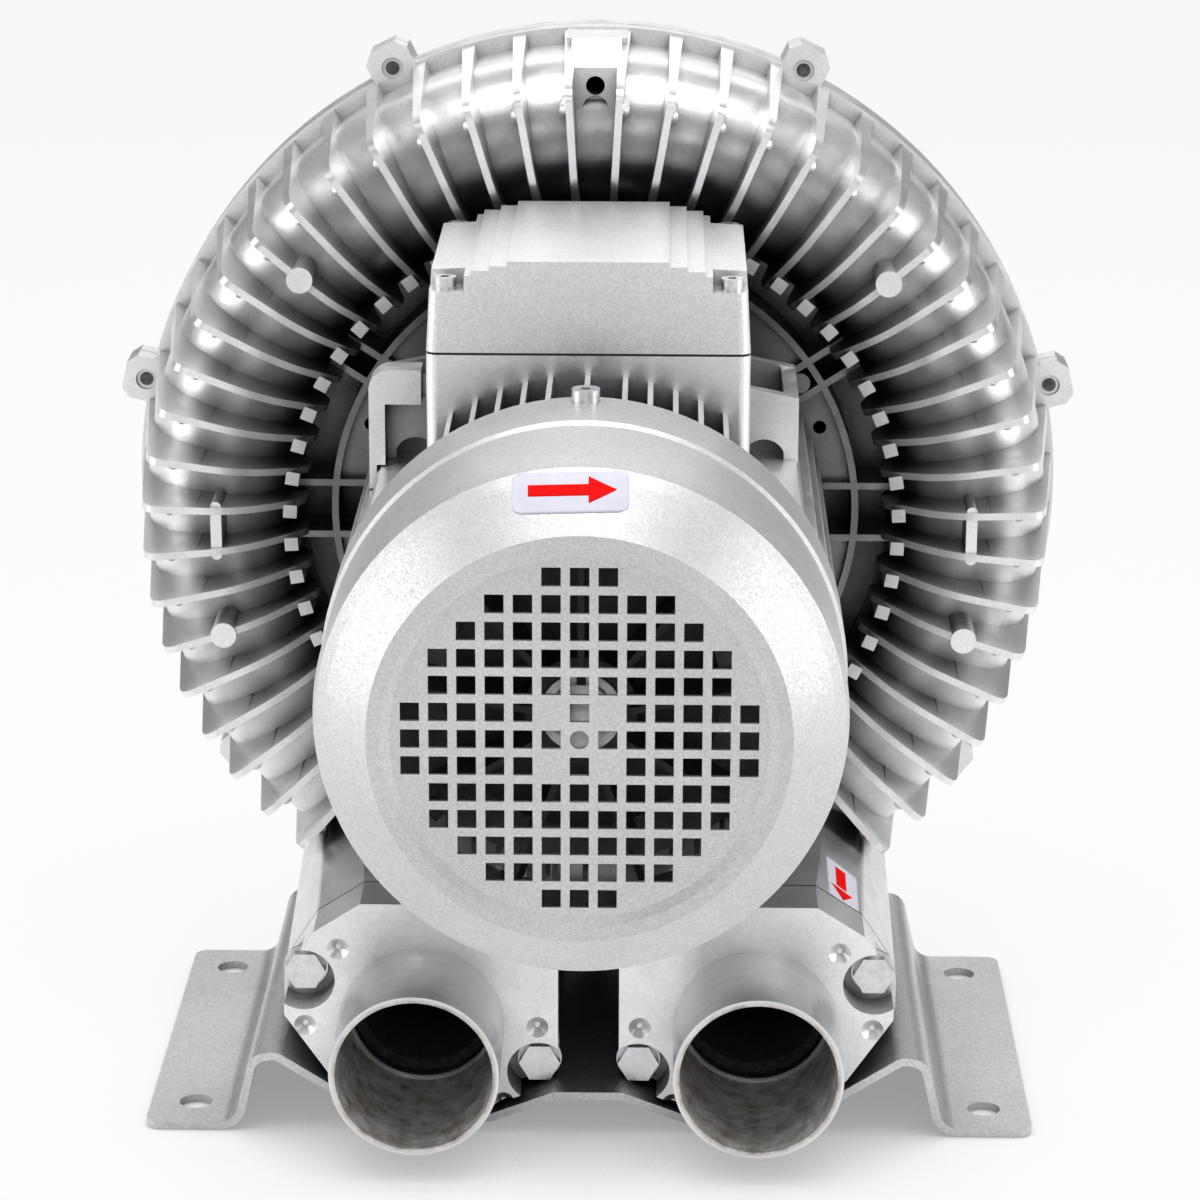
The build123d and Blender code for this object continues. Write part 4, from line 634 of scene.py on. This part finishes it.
def laid_grid(name, metal, corners, outline, cells, lift_mm, finish):
    """A sheet on the metal. Its corners are the first, the one across from it and the one along
    from it; outline(u, v) bends the unit square to the sheet's own outline."""
    across, along = cells
    points = []
    for j in range(along + 1):
        for i in range(across + 1):
            u, v = outline(i / across, j / along)
            px, py = (a + (b - a) * u + (c - a) * v for a, b, c in zip(*corners))
            hit, normal, _, _ = metal.ray_cast(EYE, pixel_ray(px, py))
            if normal.dot(LOOK) > 0:
                normal = -normal
            points.append(tuple(hit + normal * lift_mm * MM))
    row = across + 1
    starts = [j * row + i for j in range(along) for i in range(across)]
    mesh = bpy.data.meshes.new(name)
    mesh.from_pydata(points, [], [(a, a + row, a + row + 1, a + 1) for a in starts])
    sheet = bpy.data.objects.new(name, mesh)
    scene.collection.objects.link(sheet)
    film = sheet.modifiers.new("thickness", "SOLIDIFY")
    film.thickness = FILM_MM * MM
    film.offset = -1.0
    for face in mesh.polygons:
        face.use_smooth = True
    mesh.materials.append(finish)
    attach(sheet, "blower")


def straight(u, v):
    """Outline of a plain four-cornered sheet."""
    return u, v


def pointed(u, v):
    """Outline that starts at full height and runs to a point."""
    return u, 0.5 + (v - 0.5) * (1.0 - POINT_TAPER * u)


def rounded(radius_u, radius_v):
    """Outline of a card with rounded corners; the radii are parts of its width and height."""
    def outline(u, v):
        edge = max(0.0, abs(v - 0.5) - (0.5 - radius_v)) / radius_v
        inset = radius_u * (1.0 - math.sqrt(max(0.0, 1.0 - edge * edge)))
        return inset + (1.0 - 2.0 * inset) * u, v
    return outline


def head_corners(top, tip, bottom):
    """Corners of the box round an arrow head, from its top, tip and bottom."""
    reach = (tip[0] - (top[0] + bottom[0]) / 2, tip[1] - (top[1] + bottom[1]) / 2)
    return top, (top[0] + reach[0], top[1] + reach[1]), bottom


print("sticker helpers ready")

# %% [markdown]
# ## Sticker finishes
# The card is a thin plastic film, very pale violet, and the arrow is printed on it in pure red.
# Both mirror little: a glossy arrow would mirror the white studio and turn pink.

# %% Sticker finishes
FILM_MIRROR = 0.12
STICKER = moulded("sticker_card", (0.72, 0.70, 0.80), (0.80, 0.78, 0.87), 0.35, 6.0, 0.01)
ARROW_RED = moulded("arrow_red", (0.86, 0.002, 0.001), (0.95, 0.004, 0.003), 0.75, 5.0, 0.01)
for film in (STICKER, ARROW_RED):
    shader = film.node_tree.nodes["Principled BSDF"]
    shader.inputs["Specular IOR Level"].default_value = FILM_MIRROR
print("made", STICKER.name, "and", ARROW_RED.name)

# %% [markdown]
# ## The cowl's sticker
# It lies across the top of the cowl's sloping shoulder. Three sheets make it: the card with
# rounded corners, the arrow's tail as a plain strip, and the head as a sheet that runs to a
# point. The two red sheets sit a hair higher than the card, so they never flicker through it.

# %% The cowl's sticker: turning direction
COWL_CARD = ((512.0, 473.5), (629.5, 471.0), (511.5, 514.5))
COWL_TAIL = ((527.8, 485.5), (588.8, 484.2), (527.8, 497.0))
COWL_HEAD = head_corners((588.6, 476.6), (616.8, 490.0), (588.6, 503.6))

cowl = metal_of("fan_cowl")
for name, corners, outline, cells, lift_mm, finish in (
    ("cowl_sticker", COWL_CARD, rounded(0.07, 0.2), (40, 14), CARD_LIFT_MM, STICKER),
    ("cowl_arrow_tail", COWL_TAIL, straight, (24, 6), ARROW_LIFT_MM, ARROW_RED),
    ("cowl_arrow_head", COWL_HEAD, pointed, (20, 12), ARROW_LIFT_MM, ARROW_RED),
):
    laid_grid(name, cowl, corners, outline, cells, lift_mm, finish)
    print("laid", name)

# %% [markdown]
# ## The duct's sticker
# The second sticker sits on the outer flank of the right-hand duct, and its arrow points down and
# out of the port. The flank slopes away from the camera, so the same square card shows as a
# narrow diamond. The grid method needs no change for that, only the three corners as the camera
# sees them.

# %% The duct's sticker: way out of the air
DUCT_CARD = ((825.5, 855.0), (856.0, 878.0), (828.5, 892.5))
DUCT_TAIL = ((835.0, 866.5), (845.0, 874.0), (836.2, 885.0))
DUCT_HEAD = head_corners((852.2, 898.5), (843.0, 900.5), (831.0, 882.5))

duct = metal_of("blower_housing")
for name, corners, outline, cells, lift_mm, finish in (
    ("duct_sticker", DUCT_CARD, straight, (16, 16), CARD_LIFT_MM, STICKER),
    ("duct_arrow_tail", DUCT_TAIL, straight, (8, 12), ARROW_LIFT_MM, ARROW_RED),
    ("duct_arrow_head", DUCT_HEAD, pointed, (10, 10), ARROW_LIFT_MM, ARROW_RED),
):
    laid_grid(name, duct, corners, outline, cells, lift_mm, finish)
    print("laid", name)
